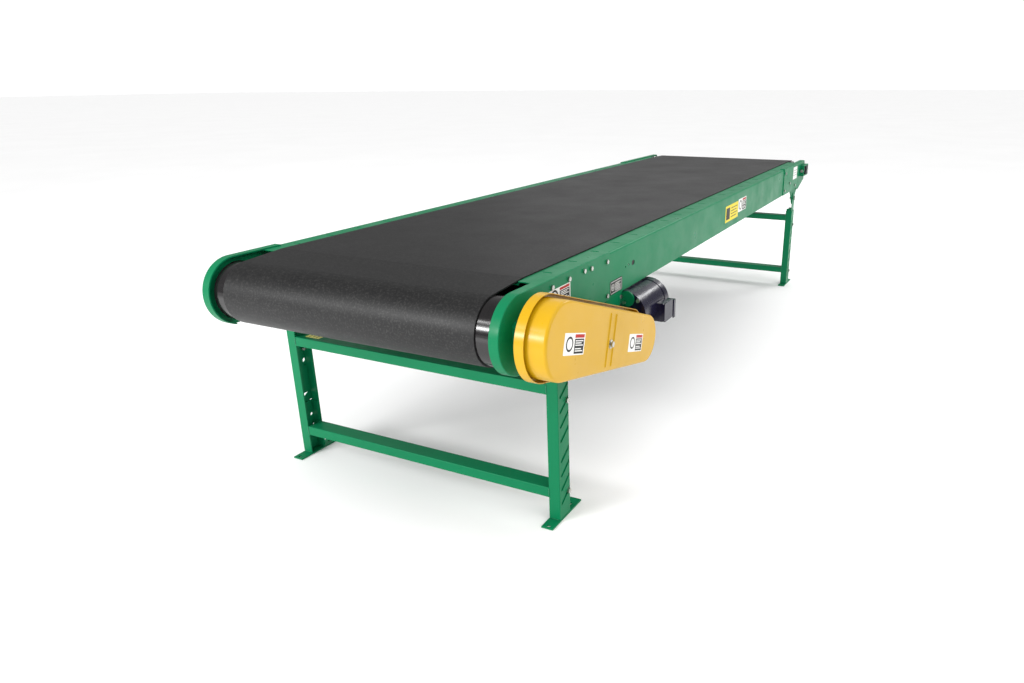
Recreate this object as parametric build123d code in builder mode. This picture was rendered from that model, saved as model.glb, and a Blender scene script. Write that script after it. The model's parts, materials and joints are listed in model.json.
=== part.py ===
from build123d import *
import math
import os

# Slider-bed belt conveyor section, 36 in belt in a 42 in wide frame, end drive.
# Millimetres. +X runs towards the head (drive) end, +Y to the drive side, +Z up.
# The origin is on the floor, on the belt's centreline, midway between the two supports.

# ---- driving dimensions ----
FRAME_WIDTH = 1066.8          # over the side rails
BELT_WIDTH = 914.4
BELT_T = 4.0
BED_TOP = 776.5               # sliding surface
BED_DEPTH = 152.0
BED_T = 2.7
BED_BEND = 8.0
BED_FRONT = 1670.0
BED_REAR = -1680.0

HEAD_X, HEAD_Z = 1787.5, 670.4
HEAD_R = 95.0                 # over the lagging
LAGGING_T = 6.0
HEAD_SHAFT_R = 17.5
HEAD_FACE = 502.0             # half of the head pulley's face width

TAIL_X, TAIL_Z = -1790.0, 724.0
TAIL_R = 50.8
TAIL_SHAFT_R = 12.7
TAIL_FACE = 470.0
TAKE_UP_TRAVEL = 38.0

PLATE_T = 4.2
PLATE_NOSE_R = 110.4
PLATE_TOP = 780.8
PLATE_FLANGE_IN = 508.0       # |Y| of the inward flange's edge
DRIVE_PLATE_REAR = 1244.5
IDLE_PLATE_REAR = 1600.5
TAIL_PLATE_FRONT = -1242.5
TAIL_PLATE_REAR = -1832.0

RETURN_R = 24.0
SNUB_R = 30.0
SNUB_X = 1622.5
BED_LIP = 1630.0              # the sliding surface starts to roll down here, under the belt only
LIP_R = 80.0
LIP_HALF = 460.0
RETURN_XS = (587.5, -562.5)

SUPPORT_XS = (1572.5, -1572.5)
LEG_OUT = 539.2               # |Y| of the leg's outer face
LEG_T = 3.2
LEG_W = 68.0
LEG_D = 38.0
LEG_TOP = 486.0
PIVOT_Z = 566.0

DRIVE_Y = 628.0               # plane of the chain
PITCH = 15.875
DRIVEN_TEETH = 34
DRIVER_TEETH = 17
OUT_X, OUT_Z = 1240.5, 508.0  # gearbox output shaft
OUT_SHAFT_R = 12.7
WORM_CENTRES = 33.8
MOTOR_Y = 536.0
MOTOR_Z = OUT_Z + WORM_CENTRES
MOTOR_FACE = 1118.5           # X of the motor's mounting face
MOTOR_R = 75.6

GUARD_BACK = 586.0
GUARD_RIM = 613.0
GUARD_FACE = 670.0
PAN_R1, PAN_R2 = 117.0, 89.0
COVER_R1, COVER_R2 = 106.0, 77.0

HALF = FRAME_WIDTH / 2
RAIL_IN = HALF - BED_T
PLATE_OUT = HALF + PLATE_T
CROSS_END = HALF - BED_BEND
SLOT_STEP, SLOT_COUNT = 152.4, 21   # guard-rail slots across both borders of the bed
SLOT_CENTRE_X, SLOT_Y = 25.4, 487.0
SLOT_L, SLOT_W = 36.0, 7.0
BOLT_HOLE = 4.5
AXLE_R = 8.0
CROSS_XS = (1300.0, 450.0, -450.0, -1150.0)
CROSS_W, CROSS_H = 50.0, 60.0
GAP = 0.3                     # between the belt and what it runs on
RUN = 0.08                    # radial clearance of a running fit
FIT = 0.3                     # radial clearance of a bolt or axle in its hole
THREAD_GAP = 0.05             # between a nut and its bolt
TOUCH = 0.1                   # gap between faces that nearly touch
RETURN_MID = TAIL_Z - TAIL_R - GAP - BELT_T / 2
SIDES = (("drive", 1), ("idle", -1))

GUARD_MOUNTS = ((1697.5, 715), (1487.5, 660), (1787.5, 590))
BEARING_BOLT_R = 5.0
BEARING_SPREAD = 32.0         # half the spacing of the flange bearings' bolts
PLATE_BEND = 3.0
WEB_HOLES = ((1082.0, 703.5), (1108.5, 701.0))
CABLE_HOLE = (1044.0, 702.5)
CABLE_SLOT, CABLE_WIDE, SMALL_HOLE = 26.0, 17.0, 4.0
DRIVE_BOLTS = ((1266, 752), (1266, 641), (1378.5, 756), (1425.5, 758), (1521.5, 757), (1621.5, 756))
IDLE_BOLTS = ((1621.5, 756), (1621.5, 700))
TAIL_BOLTS = ((-1270, 752), (-1270, 650), (-1400, 680), (-1560, 650))

os.makedirs("parts", exist_ok=True)

# ---- helpers ----
def side(y):
    """Sketch plane at one Y: local x is X, local y is Z."""
    return Plane(origin=(0, y, 0), x_dir=(1, 0, 0), z_dir=(0, -1, 0))


def across(x):
    """Sketch plane at one X: local x is Y, local y is Z."""
    return Plane(origin=(x, 0, 0), x_dir=(0, 1, 0), z_dir=(1, 0, 0))


def save(shape, name):
    shape.label = name
    export_step(shape, f"parts/{name}.step")


def tangent_line(c1, r1, c2, r2, turn1, turn2):
    """End points of the line that leaves circle 1 and joins circle 2, each passed left (1) or right (-1)."""
    dx, dz = c2[0] - c1[0], c2[1] - c1[1]
    span = math.hypot(dx, dz)
    offset1, offset2 = turn1 * r1, turn2 * r2
    heading = math.atan2(dz, dx) - math.asin((offset2 - offset1) / span)
    nx, nz = math.sin(heading), -math.cos(heading)
    return (
        (c1[0] + nx * offset1, c1[1] + nz * offset1),
        (c2[0] + nx * offset2, c2[1] + nz * offset2),
    )


def hex_bolt(head_r, head_h, shank_r, length):
    """Hexagon-head bolt standing on XY with its shank pointing down."""
    with BuildPart() as bolt:
        with BuildSketch():
            RegularPolygon(head_r, 6)
        extrude(amount=head_h)
        with BuildSketch():
            Circle(shank_r)
        extrude(amount=-length)
    return bolt.part


def hex_nut(across_r, height, thread_r):
    """Hexagon nut standing on XY."""
    with BuildPart() as nut:
        with BuildSketch():
            RegularPolygon(across_r, 6)
            Circle(thread_r + THREAD_GAP, mode=Mode.SUBTRACT)
        extrude(amount=height)
    return nut.part


def facing(x, y, z, s):
    """Place at a point with local +Z pointing to +Y (s = 1) or -Y (s = -1)."""
    return Plane(origin=(x, y, z), x_dir=(1, 0, 0), z_dir=(0, s, 0)).location


def across_at(x, y, z):
    """Place at a point with local +Z pointing to +X."""
    return Plane(origin=(x, y, z), x_dir=(0, 1, 0), z_dir=(1, 0, 0)).location


def bearing_bolts(x, z):
    """Centres of the four bolts of a flange bearing."""
    return [(x + i * BEARING_SPREAD, z + j * BEARING_SPREAD) for i in (-1, 1) for j in (-1, 1)]


def group(shapes, name):
    save(Compound(children=list(shapes)), name)


# ---- slider bed ----
LIP_TURN = math.degrees(math.asin((BED_FRONT - BED_LIP) / LIP_R))
SNUB_Z = RETURN_MID - BELT_T / 2 - GAP - SNUB_R
LIP_DEEP_R = LIP_R - BED_T


def lip_point(radius, turn):
    """Point on the rolled lip's arc, a turn in degrees past its start."""
    angle = math.radians(turn)
    return (BED_LIP + radius * math.sin(angle), BED_TOP - LIP_R + radius * math.cos(angle))


with BuildPart() as bed:
    with BuildSketch(across(BED_REAR)):
        Rectangle(FRAME_WIDTH, 2 * BED_DEPTH)
        fillet(vertices(), BED_BEND)
        offset(amount=-BED_T, mode=Mode.SUBTRACT)
    extrude(amount=BED_FRONT - BED_REAR)
    split(bisect_by=Plane.XY, keep=Keep.TOP)
bed_shape = Pos(0, 0, BED_TOP - BED_DEPTH) * bed.part

with BuildPart() as bed:
    add(bed_shape)
    # under the belt the sliding surface ends in a lip rolled down towards the head pulley
    with BuildSketch(Plane.XY.offset(BED_TOP)):
        with Locations(((BED_LIP + BED_FRONT) / 2, 0)):
            Rectangle(BED_FRONT - BED_LIP, 2 * LIP_HALF)
    extrude(amount=-4 * BED_T, mode=Mode.SUBTRACT)
    with BuildSketch(side(-LIP_HALF)):
        with BuildLine():
            CenterArc((BED_LIP, BED_TOP - LIP_R), LIP_R, 90, -LIP_TURN)
            CenterArc((BED_LIP, BED_TOP - LIP_R), LIP_DEEP_R, 90, -LIP_TURN)
            Line(lip_point(LIP_R, 0), lip_point(LIP_DEEP_R, 0))
            Line(lip_point(LIP_R, LIP_TURN), lip_point(LIP_DEEP_R, LIP_TURN))
        make_face()
    extrude(amount=-2 * LIP_HALF)
    # guard-rail slots across both borders, just outside the belt
    with BuildSketch(Plane.XY.offset(BED_TOP)):
        with Locations((SLOT_CENTRE_X, 0)):
            with GridLocations(SLOT_STEP, 2 * SLOT_Y, SLOT_COUNT, 2):
                SlotOverall(SLOT_L, SLOT_W, rotation=90)
    extrude(amount=-2 * BED_T, mode=Mode.SUBTRACT)
    # bolt holes of the head plates and tail plates, and the snub roller's axle
    with BuildSketch(side(HALF)):
        with Locations(*DRIVE_BOLTS, *TAIL_BOLTS, IDLE_BOLTS[1]):
            Circle(BOLT_HOLE)
        with Locations((SNUB_X, SNUB_Z)):
            Circle(AXLE_R + FIT)
    extrude(amount=FRAME_WIDTH, mode=Mode.SUBTRACT)
    # cable hole and two small holes in the drive-side web
    with BuildSketch(side(HALF)):
        with Locations(CABLE_HOLE):
            SlotOverall(CABLE_SLOT, CABLE_WIDE)
        with Locations(*WEB_HOLES):
            Circle(SMALL_HOLE)
    extrude(amount=2 * BED_T, mode=Mode.SUBTRACT)
save(bed.part, "slider_bed")

# channel crossmembers under the sliding surface
with BuildPart() as crossmembers:
    for x in CROSS_XS:
        with BuildSketch(side(-CROSS_END)):
            with Locations((x, BED_TOP - BED_T)):
                Rectangle(CROSS_W, CROSS_H, align=(Align.CENTER, Align.MAX))
            with Locations((x, BED_TOP - BED_T - LEG_T)):
                Rectangle(CROSS_W - 2 * LEG_T, CROSS_H, align=(Align.CENTER, Align.MAX), mode=Mode.SUBTRACT)
        extrude(amount=-2 * CROSS_END)
save(crossmembers.part, "bed_crossmembers")


# ---- head and tail plates: formed sheet bolted outside the rails, with an inward flange ----
PLATE_BOTTOM = BED_TOP - BED_DEPTH
NOSE_LOW = 75.0               # the flange runs this far below the nose's horizontal


def formed_plate(s, outline, flange, holes, bore_r=0.0, bore=(0, 0), windows=()):
    """One end plate: the web outside the rail, and the flange strip turned in over the bed."""
    with BuildPart() as plate:
        with BuildSketch(side(s * HALF)) as web:
            with BuildLine():
                outline()
            make_face()
            with Locations(*holes):
                Circle(BOLT_HOLE, mode=Mode.SUBTRACT)
            if bore_r:
                with Locations(bore):
                    Circle(bore_r, mode=Mode.SUBTRACT)
            for x, z, w, h in windows:
                with Locations((x, z)):
                    Rectangle(w, h, mode=Mode.SUBTRACT)
        extrude(amount=-s * PLATE_T)
        with BuildSketch(side(s * PLATE_FLANGE_IN)):
            with BuildLine():
                flange()
            make_face()
        extrude(amount=-s * (PLATE_OUT - PLATE_FLANGE_IN))
        outer = plate.edges().filter_by(lambda e: abs(abs(e.center().Y) - PLATE_OUT) < 0.01)
        fillet(outer.filter_by(GeomType.LINE).sort_by(Axis.Z)[-1], PLATE_BEND)
    return plate.part


def nose_point(radius, angle):
    """Point at one angle on a circle about the head shaft."""
    turn = math.radians(angle)
    return (HEAD_X + radius * math.cos(turn), HEAD_Z + radius * math.sin(turn))


def head_outline(rear):
    def draw():
        CenterArc((HEAD_X, HEAD_Z), PLATE_NOSE_R, -90, 180)
        Polyline(
            (HEAD_X, PLATE_TOP),
            (rear, PLATE_TOP),
            (rear, PLATE_BOTTOM),
            (SNUB_X - 25, PLATE_BOTTOM),
            (SNUB_X + 5, PLATE_BOTTOM - 18),
            (HEAD_X - 80, HEAD_Z - PLATE_NOSE_R),
            (HEAD_X, HEAD_Z - PLATE_NOSE_R),
        )
    return draw


def head_flange(rear):
    def draw():
        inner = PLATE_NOSE_R - PLATE_T
        CenterArc((HEAD_X, HEAD_Z), PLATE_NOSE_R, -NOSE_LOW, 90 + NOSE_LOW)
        CenterArc((HEAD_X, HEAD_Z), inner, -NOSE_LOW, 90 + NOSE_LOW)
        Line(nose_point(PLATE_NOSE_R, -NOSE_LOW), nose_point(inner, -NOSE_LOW))
        Polyline(
            (HEAD_X, PLATE_TOP),
            (rear, PLATE_TOP),
            (rear, PLATE_TOP - PLATE_T),
            (HEAD_X, PLATE_TOP - PLATE_T),
        )
    return draw


for name, s in SIDES:
    rear = DRIVE_PLATE_REAR if s > 0 else IDLE_PLATE_REAR
    bolts = DRIVE_BOLTS if s > 0 else IDLE_BOLTS
    plate = formed_plate(s, head_outline(rear), head_flange(rear), bolts, HEAD_SHAFT_R + 6, (HEAD_X, HEAD_Z))
    with BuildPart() as drilled:
        add(plate)
        with BuildSketch(side(s * PLATE_OUT)):
            with Locations((SNUB_X, SNUB_Z)):
                Circle(AXLE_R + FIT)
            with Locations(*bearing_bolts(HEAD_X, HEAD_Z)):
                Circle(BEARING_BOLT_R + FIT)
            if s > 0:
                with Locations(*GUARD_MOUNTS):
                    Circle(BOLT_HOLE)
        extrude(amount=s * 2 * PLATE_T, mode=Mode.SUBTRACT)
    save(drilled.part, f"head_plate_{name}")


def tail_outline():
    Polyline(
        (TAIL_PLATE_FRONT, PLATE_TOP),
        (TAIL_PLATE_REAR + 15, PLATE_TOP),
        (TAIL_PLATE_REAR, PLATE_TOP - 15),
        (TAIL_PLATE_REAR, PLATE_BOTTOM + 36),
        (TAIL_PLATE_REAR + 160, PLATE_BOTTOM - 11),
        (TAIL_PLATE_REAR + 200, PLATE_BOTTOM - 11),
        (TAIL_PLATE_REAR + 215, PLATE_BOTTOM),
        (TAIL_PLATE_FRONT, PLATE_BOTTOM),
        close=True,
    )


def tail_flange():
    Polyline(
        (TAIL_PLATE_FRONT, PLATE_TOP),
        (TAIL_PLATE_REAR + 15, PLATE_TOP),
        (TAIL_PLATE_REAR, PLATE_TOP - 15),
        (TAIL_PLATE_REAR + PLATE_T, PLATE_TOP - 15),
        (TAIL_PLATE_REAR + 15 + PLATE_T / 2, PLATE_TOP - PLATE_T),
        (TAIL_PLATE_FRONT, PLATE_TOP - PLATE_T),
        close=True,
    )


WINDOW_L, WINDOW_H = 94.0, 50.0
WINDOW = (TAIL_X + TAKE_UP_TRAVEL / 2, TAIL_Z, WINDOW_L, WINDOW_H)
for name, s in SIDES:
    plate = formed_plate(s, tail_outline, tail_flange, TAIL_BOLTS, windows=(WINDOW,))
    save(plate, f"tail_plate_{name}")


# ---- belt: one closed loop over the head pulley, snub roller, tail pulley and bed ----
SNUB_CROWN = math.radians(72)  # a point inside the belt's wrap on the snub roller


def belt_loop():
    """Corners and wraps of the belt's middle line, clockwise from the bed's rear edge."""
    head_r = HEAD_R + GAP + BELT_T / 2
    snub_r = SNUB_R + GAP + BELT_T / 2
    tail_r = TAIL_R + GAP + BELT_T / 2
    bed_mid = BED_TOP + BELT_T / 2
    head, snub, tail = (HEAD_X, HEAD_Z), (SNUB_X, SNUB_Z), (TAIL_X, TAIL_Z)
    front, rear = (BED_LIP + 10, bed_mid), (BED_REAR - 4, bed_mid)
    _, head_in = tangent_line(front, 0, head, head_r, 1, -1)
    head_out, snub_in = tangent_line(head, head_r, snub, snub_r, -1, 1)
    snub_out = (SNUB_X, SNUB_Z + snub_r)
    tail_in = (TAIL_X, TAIL_Z - tail_r)
    tail_out, _ = tangent_line(tail, tail_r, rear, 0, -1, 1)
    far = nose_point(head_r, -20)
    heel = (TAIL_X - tail_r, TAIL_Z)
    crown = (SNUB_X + snub_r * math.cos(SNUB_CROWN), SNUB_Z + snub_r * math.sin(SNUB_CROWN))
    Polyline(rear, front, head_in)
    ThreePointArc(head_in, far, head_out)
    Line(head_out, snub_in)
    ThreePointArc(snub_in, crown, snub_out)
    Line(snub_out, tail_in)
    ThreePointArc(tail_in, heel, tail_out)
    Line(tail_out, rear)


with BuildPart() as belt:
    with BuildSketch(side(-BELT_WIDTH / 2)):
        with BuildLine():
            belt_loop()
        make_face()
        offset(amount=BELT_T / 2)
        with BuildLine(mode=Mode.PRIVATE) as middle:
            belt_loop()
        inside = offset(make_face(middle.line, mode=Mode.PRIVATE), amount=-BELT_T / 2, mode=Mode.PRIVATE)
        add(inside, mode=Mode.SUBTRACT)
    extrude(amount=-BELT_WIDTH)
save(belt.part, "belt")

# ---- head pulley ----
with BuildPart() as lagging:
    with BuildSketch(side(-HEAD_FACE)):
        with Locations((HEAD_X, HEAD_Z)):
            Circle(HEAD_R)
            Circle(HEAD_R - LAGGING_T, mode=Mode.SUBTRACT)
    extrude(amount=-2 * HEAD_FACE)
save(lagging.part, "head_pulley_lagging")


def drum(x, z, outer, wall, half, disc_t, hub_r, hub_l, bore):
    """Pulley drum: a tube closed by an end disc with a hub at each end."""
    with BuildPart() as body:
        with BuildSketch(side(-half)):
            with Locations((x, z)):
                Circle(outer)
                Circle(outer - wall, mode=Mode.SUBTRACT)
        extrude(amount=-2 * half)
        for s in (-1, 1):
            with BuildSketch(side(s * (half - 12))):
                with Locations((x, z)):
                    Circle(outer - wall / 2)
            extrude(amount=s * disc_t)
            with BuildSketch(side(s * (half - 12 - disc_t - hub_l / 2))):
                with Locations((x, z)):
                    Circle(hub_r)
            extrude(amount=-s * (hub_l / 2 + disc_t + 10))
        with BuildSketch(side(-half - 1)):
            with Locations((x, z)):
                Circle(bore)
        extrude(amount=-2 * half - 2, mode=Mode.SUBTRACT)
    return body.part


def shaft(x, z, radius, y0, y1, chamfer_by=1.5):
    """Plain round shaft along Y with chamfered ends."""
    with BuildPart() as bar:
        with BuildSketch(side(y0)):
            with Locations((x, z)):
                Circle(radius)
        extrude(amount=y0 - y1)
        chamfer(bar.faces().filter_by(GeomType.PLANE).edges(), chamfer_by)
    return bar.part


def cut_box(shape, lo, hi):
    """Cut an axis-aligned box out of a solid."""
    size = [b - a for a, b in zip(lo, hi)]
    return shape - Pos(*lo) * Box(*size, align=(Align.MIN, Align.MIN, Align.MIN))


save(drum(HEAD_X, HEAD_Z, HEAD_R - LAGGING_T, 6, HEAD_FACE, 10, 40, 60, HEAD_SHAFT_R), "head_pulley_shell")

HEAD_SHAFT_END = DRIVE_Y + 18
KEY_W, KEY_H = 9.5, 9.5
KEY_Y0, KEY_Y1 = DRIVE_Y - 30, DRIVE_Y + 12
key_low = HEAD_Z + HEAD_SHAFT_R - KEY_H / 2
head_shaft = shaft(HEAD_X, HEAD_Z, HEAD_SHAFT_R, -PLATE_OUT - 48, HEAD_SHAFT_END)
key_lo = (HEAD_X - KEY_W / 2, KEY_Y0, key_low)
head_shaft = cut_box(head_shaft, key_lo, (HEAD_X + KEY_W / 2, KEY_Y1, key_low + KEY_H))
with BuildPart() as key:
    with BuildSketch(Plane.XY.offset(key_low)):
        with Locations((HEAD_X, (KEY_Y0 + KEY_Y1) / 2)):
            Rectangle(KEY_W, KEY_Y1 - KEY_Y0)
    extrude(amount=KEY_H)
group([head_shaft, key.part], "head_shaft_and_key")


# ---- head bearings: four-bolt flange units outside the head plates ----
BEARING_FLANGE_T, BEARING_H = 12.0, 28.0
BEARING_SQUARE = 2 * BEARING_SPREAD + 24
INSERT_R, INSERT_T, COLLAR_R, COLLAR_T = 26.9, 25.0, 24.0, 11.0
INSERT_SET = 2.0


def flange_bearing(s):
    """Cast housing; its bore is a running fit on the shaft."""
    with BuildPart() as unit:
        with BuildSketch(side(s * PLATE_OUT)):
            with Locations((HEAD_X, HEAD_Z)):
                RectangleRounded(BEARING_SQUARE, BEARING_SQUARE, 12)
        extrude(amount=-s * BEARING_FLANGE_T)
        with BuildSketch(side(s * (PLATE_OUT + BEARING_FLANGE_T))):
            with Locations((HEAD_X, HEAD_Z)):
                Circle(34)
        extrude(amount=-s * (BEARING_H - BEARING_FLANGE_T), taper=6)
        with BuildSketch(side(s * PLATE_OUT)):
            with Locations((HEAD_X, HEAD_Z)):
                Circle(INSERT_R + TOUCH)
            with Locations(*bearing_bolts(HEAD_X, HEAD_Z)):
                Circle(BEARING_BOLT_R + FIT)
        extrude(amount=-s * 2 * BEARING_H, mode=Mode.SUBTRACT)
    return unit.part


def bearing_insert(s):
    with BuildPart() as ring:
        with BuildSketch(side(s * (PLATE_OUT + INSERT_SET))):
            with Locations((HEAD_X, HEAD_Z)):
                Circle(INSERT_R)
                Circle(HEAD_SHAFT_R + RUN, mode=Mode.SUBTRACT)
        extrude(amount=-s * INSERT_T)
        with BuildSketch(side(s * (PLATE_OUT + INSERT_SET + INSERT_T))):
            with Locations((HEAD_X, HEAD_Z)):
                Circle(COLLAR_R)
                Circle(HEAD_SHAFT_R + RUN, mode=Mode.SUBTRACT)
        extrude(amount=-s * COLLAR_T)
    return ring.part


group([unit(s) for _, s in SIDES for unit in (flange_bearing, bearing_insert)], "head_bearings")
bearing_screw = hex_bolt(8.5, 6.5, BEARING_BOLT_R, 22)
bearing_nut = hex_nut(8.5, 7, BEARING_BOLT_R)
frame_bolts = []
for _, s in SIDES:
    for x, z in bearing_bolts(HEAD_X, HEAD_Z):
        frame_bolts.append(facing(x, s * (PLATE_OUT + BEARING_FLANGE_T), z, s) * bearing_screw)
        frame_bolts.append(facing(x, s * HALF, z, -s) * bearing_nut)


# ---- snub roller and return rollers ----
def roller(x, z, radius, half, bore):
    """Steel tube with a pressed end cap at each end, running on a fixed axle."""
    with BuildPart() as body:
        with BuildSketch(side(-half)):
            with Locations((x, z)):
                Circle(radius)
                Circle(radius - 3, mode=Mode.SUBTRACT)
        extrude(amount=-2 * half)
        for s in (-1, 1):
            with BuildSketch(side(s * half)):
                with Locations((x, z)):
                    Circle(radius - 2)
            extrude(amount=s * 12)
        with BuildSketch(side(-half - 1)):
            with Locations((x, z)):
                Circle(bore + RUN)
        extrude(amount=-2 * half - 2, mode=Mode.SUBTRACT)
    return body.part


ROLLER_HALF = 485.0
save(roller(SNUB_X, SNUB_Z, SNUB_R, ROLLER_HALF, AXLE_R), "snub_roller")
snub_nut = hex_nut(12, 8, AXLE_R)
snub_axle = shaft(SNUB_X, SNUB_Z, AXLE_R, -PLATE_OUT - 12, PLATE_OUT + 12)
frame_bolts += [facing(SNUB_X, s * PLATE_OUT, SNUB_Z, s) * snub_nut for _, s in SIDES]

RETURN_Z = RETURN_MID - BELT_T / 2 - GAP - RETURN_R
RETURN_AXLE_R = 6.0
BRACKET_T = 6.0
for name, x in zip(("front", "rear"), RETURN_XS):
    save(roller(x, RETURN_Z, RETURN_R, ROLLER_HALF, RETURN_AXLE_R), f"return_roller_{name}")
return_axles = [shaft(x, RETURN_Z, RETURN_AXLE_R, -RAIL_IN, RAIL_IN) for x in RETURN_XS]
group([snub_axle] + return_axles, "roller_axles")


def axle_bracket(x, s):
    """Pad inside the rail with an open-topped slot that the axle drops into."""
    with BuildPart() as pad:
        with BuildSketch(side(s * RAIL_IN)):
            with Locations((x, RETURN_Z + 8)):
                Rectangle(46, 44)
            with Locations((x, RETURN_Z)):
                Circle(RETURN_AXLE_R + TOUCH, mode=Mode.SUBTRACT)
                Rectangle(
                    2 * (RETURN_AXLE_R + TOUCH), 40, align=(Align.CENTER, Align.MIN), mode=Mode.SUBTRACT
                )
        extrude(amount=s * BRACKET_T)
    return pad.part


group([axle_bracket(x, s) for x in RETURN_XS for _, s in SIDES], "return_roller_brackets")

# ---- tail pulley on its take-up ----
save(drum(TAIL_X, TAIL_Z, TAIL_R, 5, TAIL_FACE, 8, 28, 40, TAIL_SHAFT_R), "tail_pulley")
GUIDE_OUT = PLATE_OUT + 24     # outer face of the take-up's guide bars
BLOCK_IN, BLOCK_OUT = PLATE_OUT + 0.6, GUIDE_OUT + 2
TAIL_SHAFT_END = BLOCK_OUT + 6
save(shaft(TAIL_X, TAIL_Z, TAIL_SHAFT_R, -TAIL_SHAFT_END, TAIL_SHAFT_END), "tail_shaft")

GUIDE_Z = 31.0                # guide bars' centres above and below the tail shaft
GUIDE_T = 6.0
BLOCK_H = 2 * (GUIDE_Z - GUIDE_T / 2) - 0.6
BLOCK_W = 64.0
BOSS_R, BOSS_L = 23.0, 16.0
SCREW_R, SCREW_NOSE_R = 6.0, 4.0
SCREW_Y = PLATE_OUT + 13
SCREW_HEX_R = 11.0
SCREW_SET = 12.0              # depth of the screw's nose in the block
NUT_PLATE_X = TAIL_X + BLOCK_W / 2 + TAKE_UP_TRAVEL + 8
NUT_PLATE_T, NUT_T = 8.0, 9.0
SCREW_HEAD_X = NUT_PLATE_X + NUT_PLATE_T + NUT_T + 6
GUIDE_REAR = TAIL_PLATE_REAR


def tail_block(s):
    """Bearing block that slides between the two guide bars."""
    y0, y1 = s * BLOCK_IN, s * BLOCK_OUT
    with BuildPart() as block:
        with BuildSketch(side(y0)):
            with Locations((TAIL_X, TAIL_Z)):
                RectangleRounded(BLOCK_W, BLOCK_H, 6)
                Circle(TAIL_SHAFT_R + RUN, mode=Mode.SUBTRACT)
        extrude(amount=y0 - y1)
        with BuildSketch(side(y0)):
            with Locations((TAIL_X, TAIL_Z)):
                Circle(BOSS_R)
                Circle(TAIL_SHAFT_R + RUN, mode=Mode.SUBTRACT)
        extrude(amount=s * BOSS_L)
        with BuildSketch(across(TAIL_X + BLOCK_W / 2)):
            with Locations((s * SCREW_Y, TAIL_Z)):
                Circle(SCREW_NOSE_R + RUN)
        extrude(amount=-SCREW_SET, mode=Mode.SUBTRACT)
    return block.part


group([tail_block(s) for _, s in SIDES], "take_up_blocks")


def take_up_frame(s):
    """Guide bars closed by a rear stop and by the front plate and nut that carry the screw."""
    y0, y1 = s * PLATE_OUT, s * GUIDE_OUT
    x1 = NUT_PLATE_X + NUT_PLATE_T
    with BuildPart() as frame:
        with BuildSketch(side(y0)):
            for z in (TAIL_Z - GUIDE_Z, TAIL_Z + GUIDE_Z):
                with Locations(((GUIDE_REAR + x1) / 2, z)):
                    Rectangle(x1 - GUIDE_REAR, GUIDE_T)
            with Locations((GUIDE_REAR, TAIL_Z)):
                Rectangle(GUIDE_T, 2 * GUIDE_Z, align=(Align.MIN, Align.CENTER))
            with Locations((NUT_PLATE_X, TAIL_Z)):
                Rectangle(NUT_PLATE_T, 2 * GUIDE_Z, align=(Align.MIN, Align.CENTER))
        extrude(amount=y0 - y1)
        with BuildSketch(across(x1)):
            with Locations((s * SCREW_Y, TAIL_Z)):
                RegularPolygon(SCREW_HEX_R, 6)
        extrude(amount=NUT_T)
        with BuildSketch(across(NUT_PLATE_X)):
            with Locations((s * SCREW_Y, TAIL_Z)):
                Circle(SCREW_R + RUN)
        extrude(amount=NUT_PLATE_T + NUT_T, mode=Mode.SUBTRACT)
    return frame.part


def take_up_screw(s):
    """Adjusting screw: hexagon head, thread, and a plain nose held in the block."""
    shoulder_x = TAIL_X + BLOCK_W / 2 + 0.4
    with BuildPart() as screw:
        with BuildSketch(across(SCREW_HEAD_X)):
            with Locations((s * SCREW_Y, TAIL_Z)):
                RegularPolygon(SCREW_HEX_R - 1, 6)
        extrude(amount=8)
        with BuildSketch(across(shoulder_x)):
            with Locations((s * SCREW_Y, TAIL_Z)):
                Circle(SCREW_R)
        extrude(amount=SCREW_HEAD_X - shoulder_x)
        with BuildSketch(across(shoulder_x)):
            with Locations((s * SCREW_Y, TAIL_Z)):
                Circle(SCREW_NOSE_R)
        extrude(amount=1 - SCREW_SET)
    return screw.part


group([take_up_frame(s) for _, s in SIDES], "take_up_frames")
for name, s in SIDES:
    save(take_up_screw(s), f"take_up_screw_{name}")


# ---- chain drive ----
DRIVEN_R = PITCH / 2 / math.sin(math.pi / DRIVEN_TEETH)
DRIVER_R = PITCH / 2 / math.sin(math.pi / DRIVER_TEETH)
ROLLER_R = 5.08
TOOTH_W = 8.6


def tip_radius(teeth):
    return PITCH * (0.6 + 1 / math.tan(math.pi / teeth)) / 2


def sprocket(x, z, teeth, pitch_r, hub_r, bore, y_hub, key_h):
    """Roller-chain sprocket with a hub towards the frame and a keyway at the top of its bore."""
    with BuildPart() as wheel:
        with BuildSketch(side(DRIVE_Y - TOOTH_W / 2)):
            with Locations((x, z)):
                Circle(tip_radius(teeth))
                with PolarLocations(pitch_r, teeth, start_angle=180 / teeth):
                    Circle(ROLLER_R + TOUCH, mode=Mode.SUBTRACT)
                with PolarLocations(pitch_r + 5.5, teeth, start_angle=180 / teeth):
                    Rectangle(8.0, 2 * ROLLER_R - 0.4, mode=Mode.SUBTRACT)
        extrude(amount=-TOOTH_W)
        with BuildSketch(side(y_hub)):
            with Locations((x, z)):
                Circle(hub_r)
        extrude(amount=y_hub - DRIVE_Y - TOOTH_W / 2)
        with BuildSketch(side(y_hub)):
            with Locations((x, z)):
                Circle(bore)
            with Locations((x, z + bore - key_h / 2)):
                Rectangle(key_h, key_h, align=(Align.CENTER, Align.MIN))
        extrude(amount=y_hub - DRIVE_Y - TOOTH_W, mode=Mode.SUBTRACT)
    return wheel.part


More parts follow.
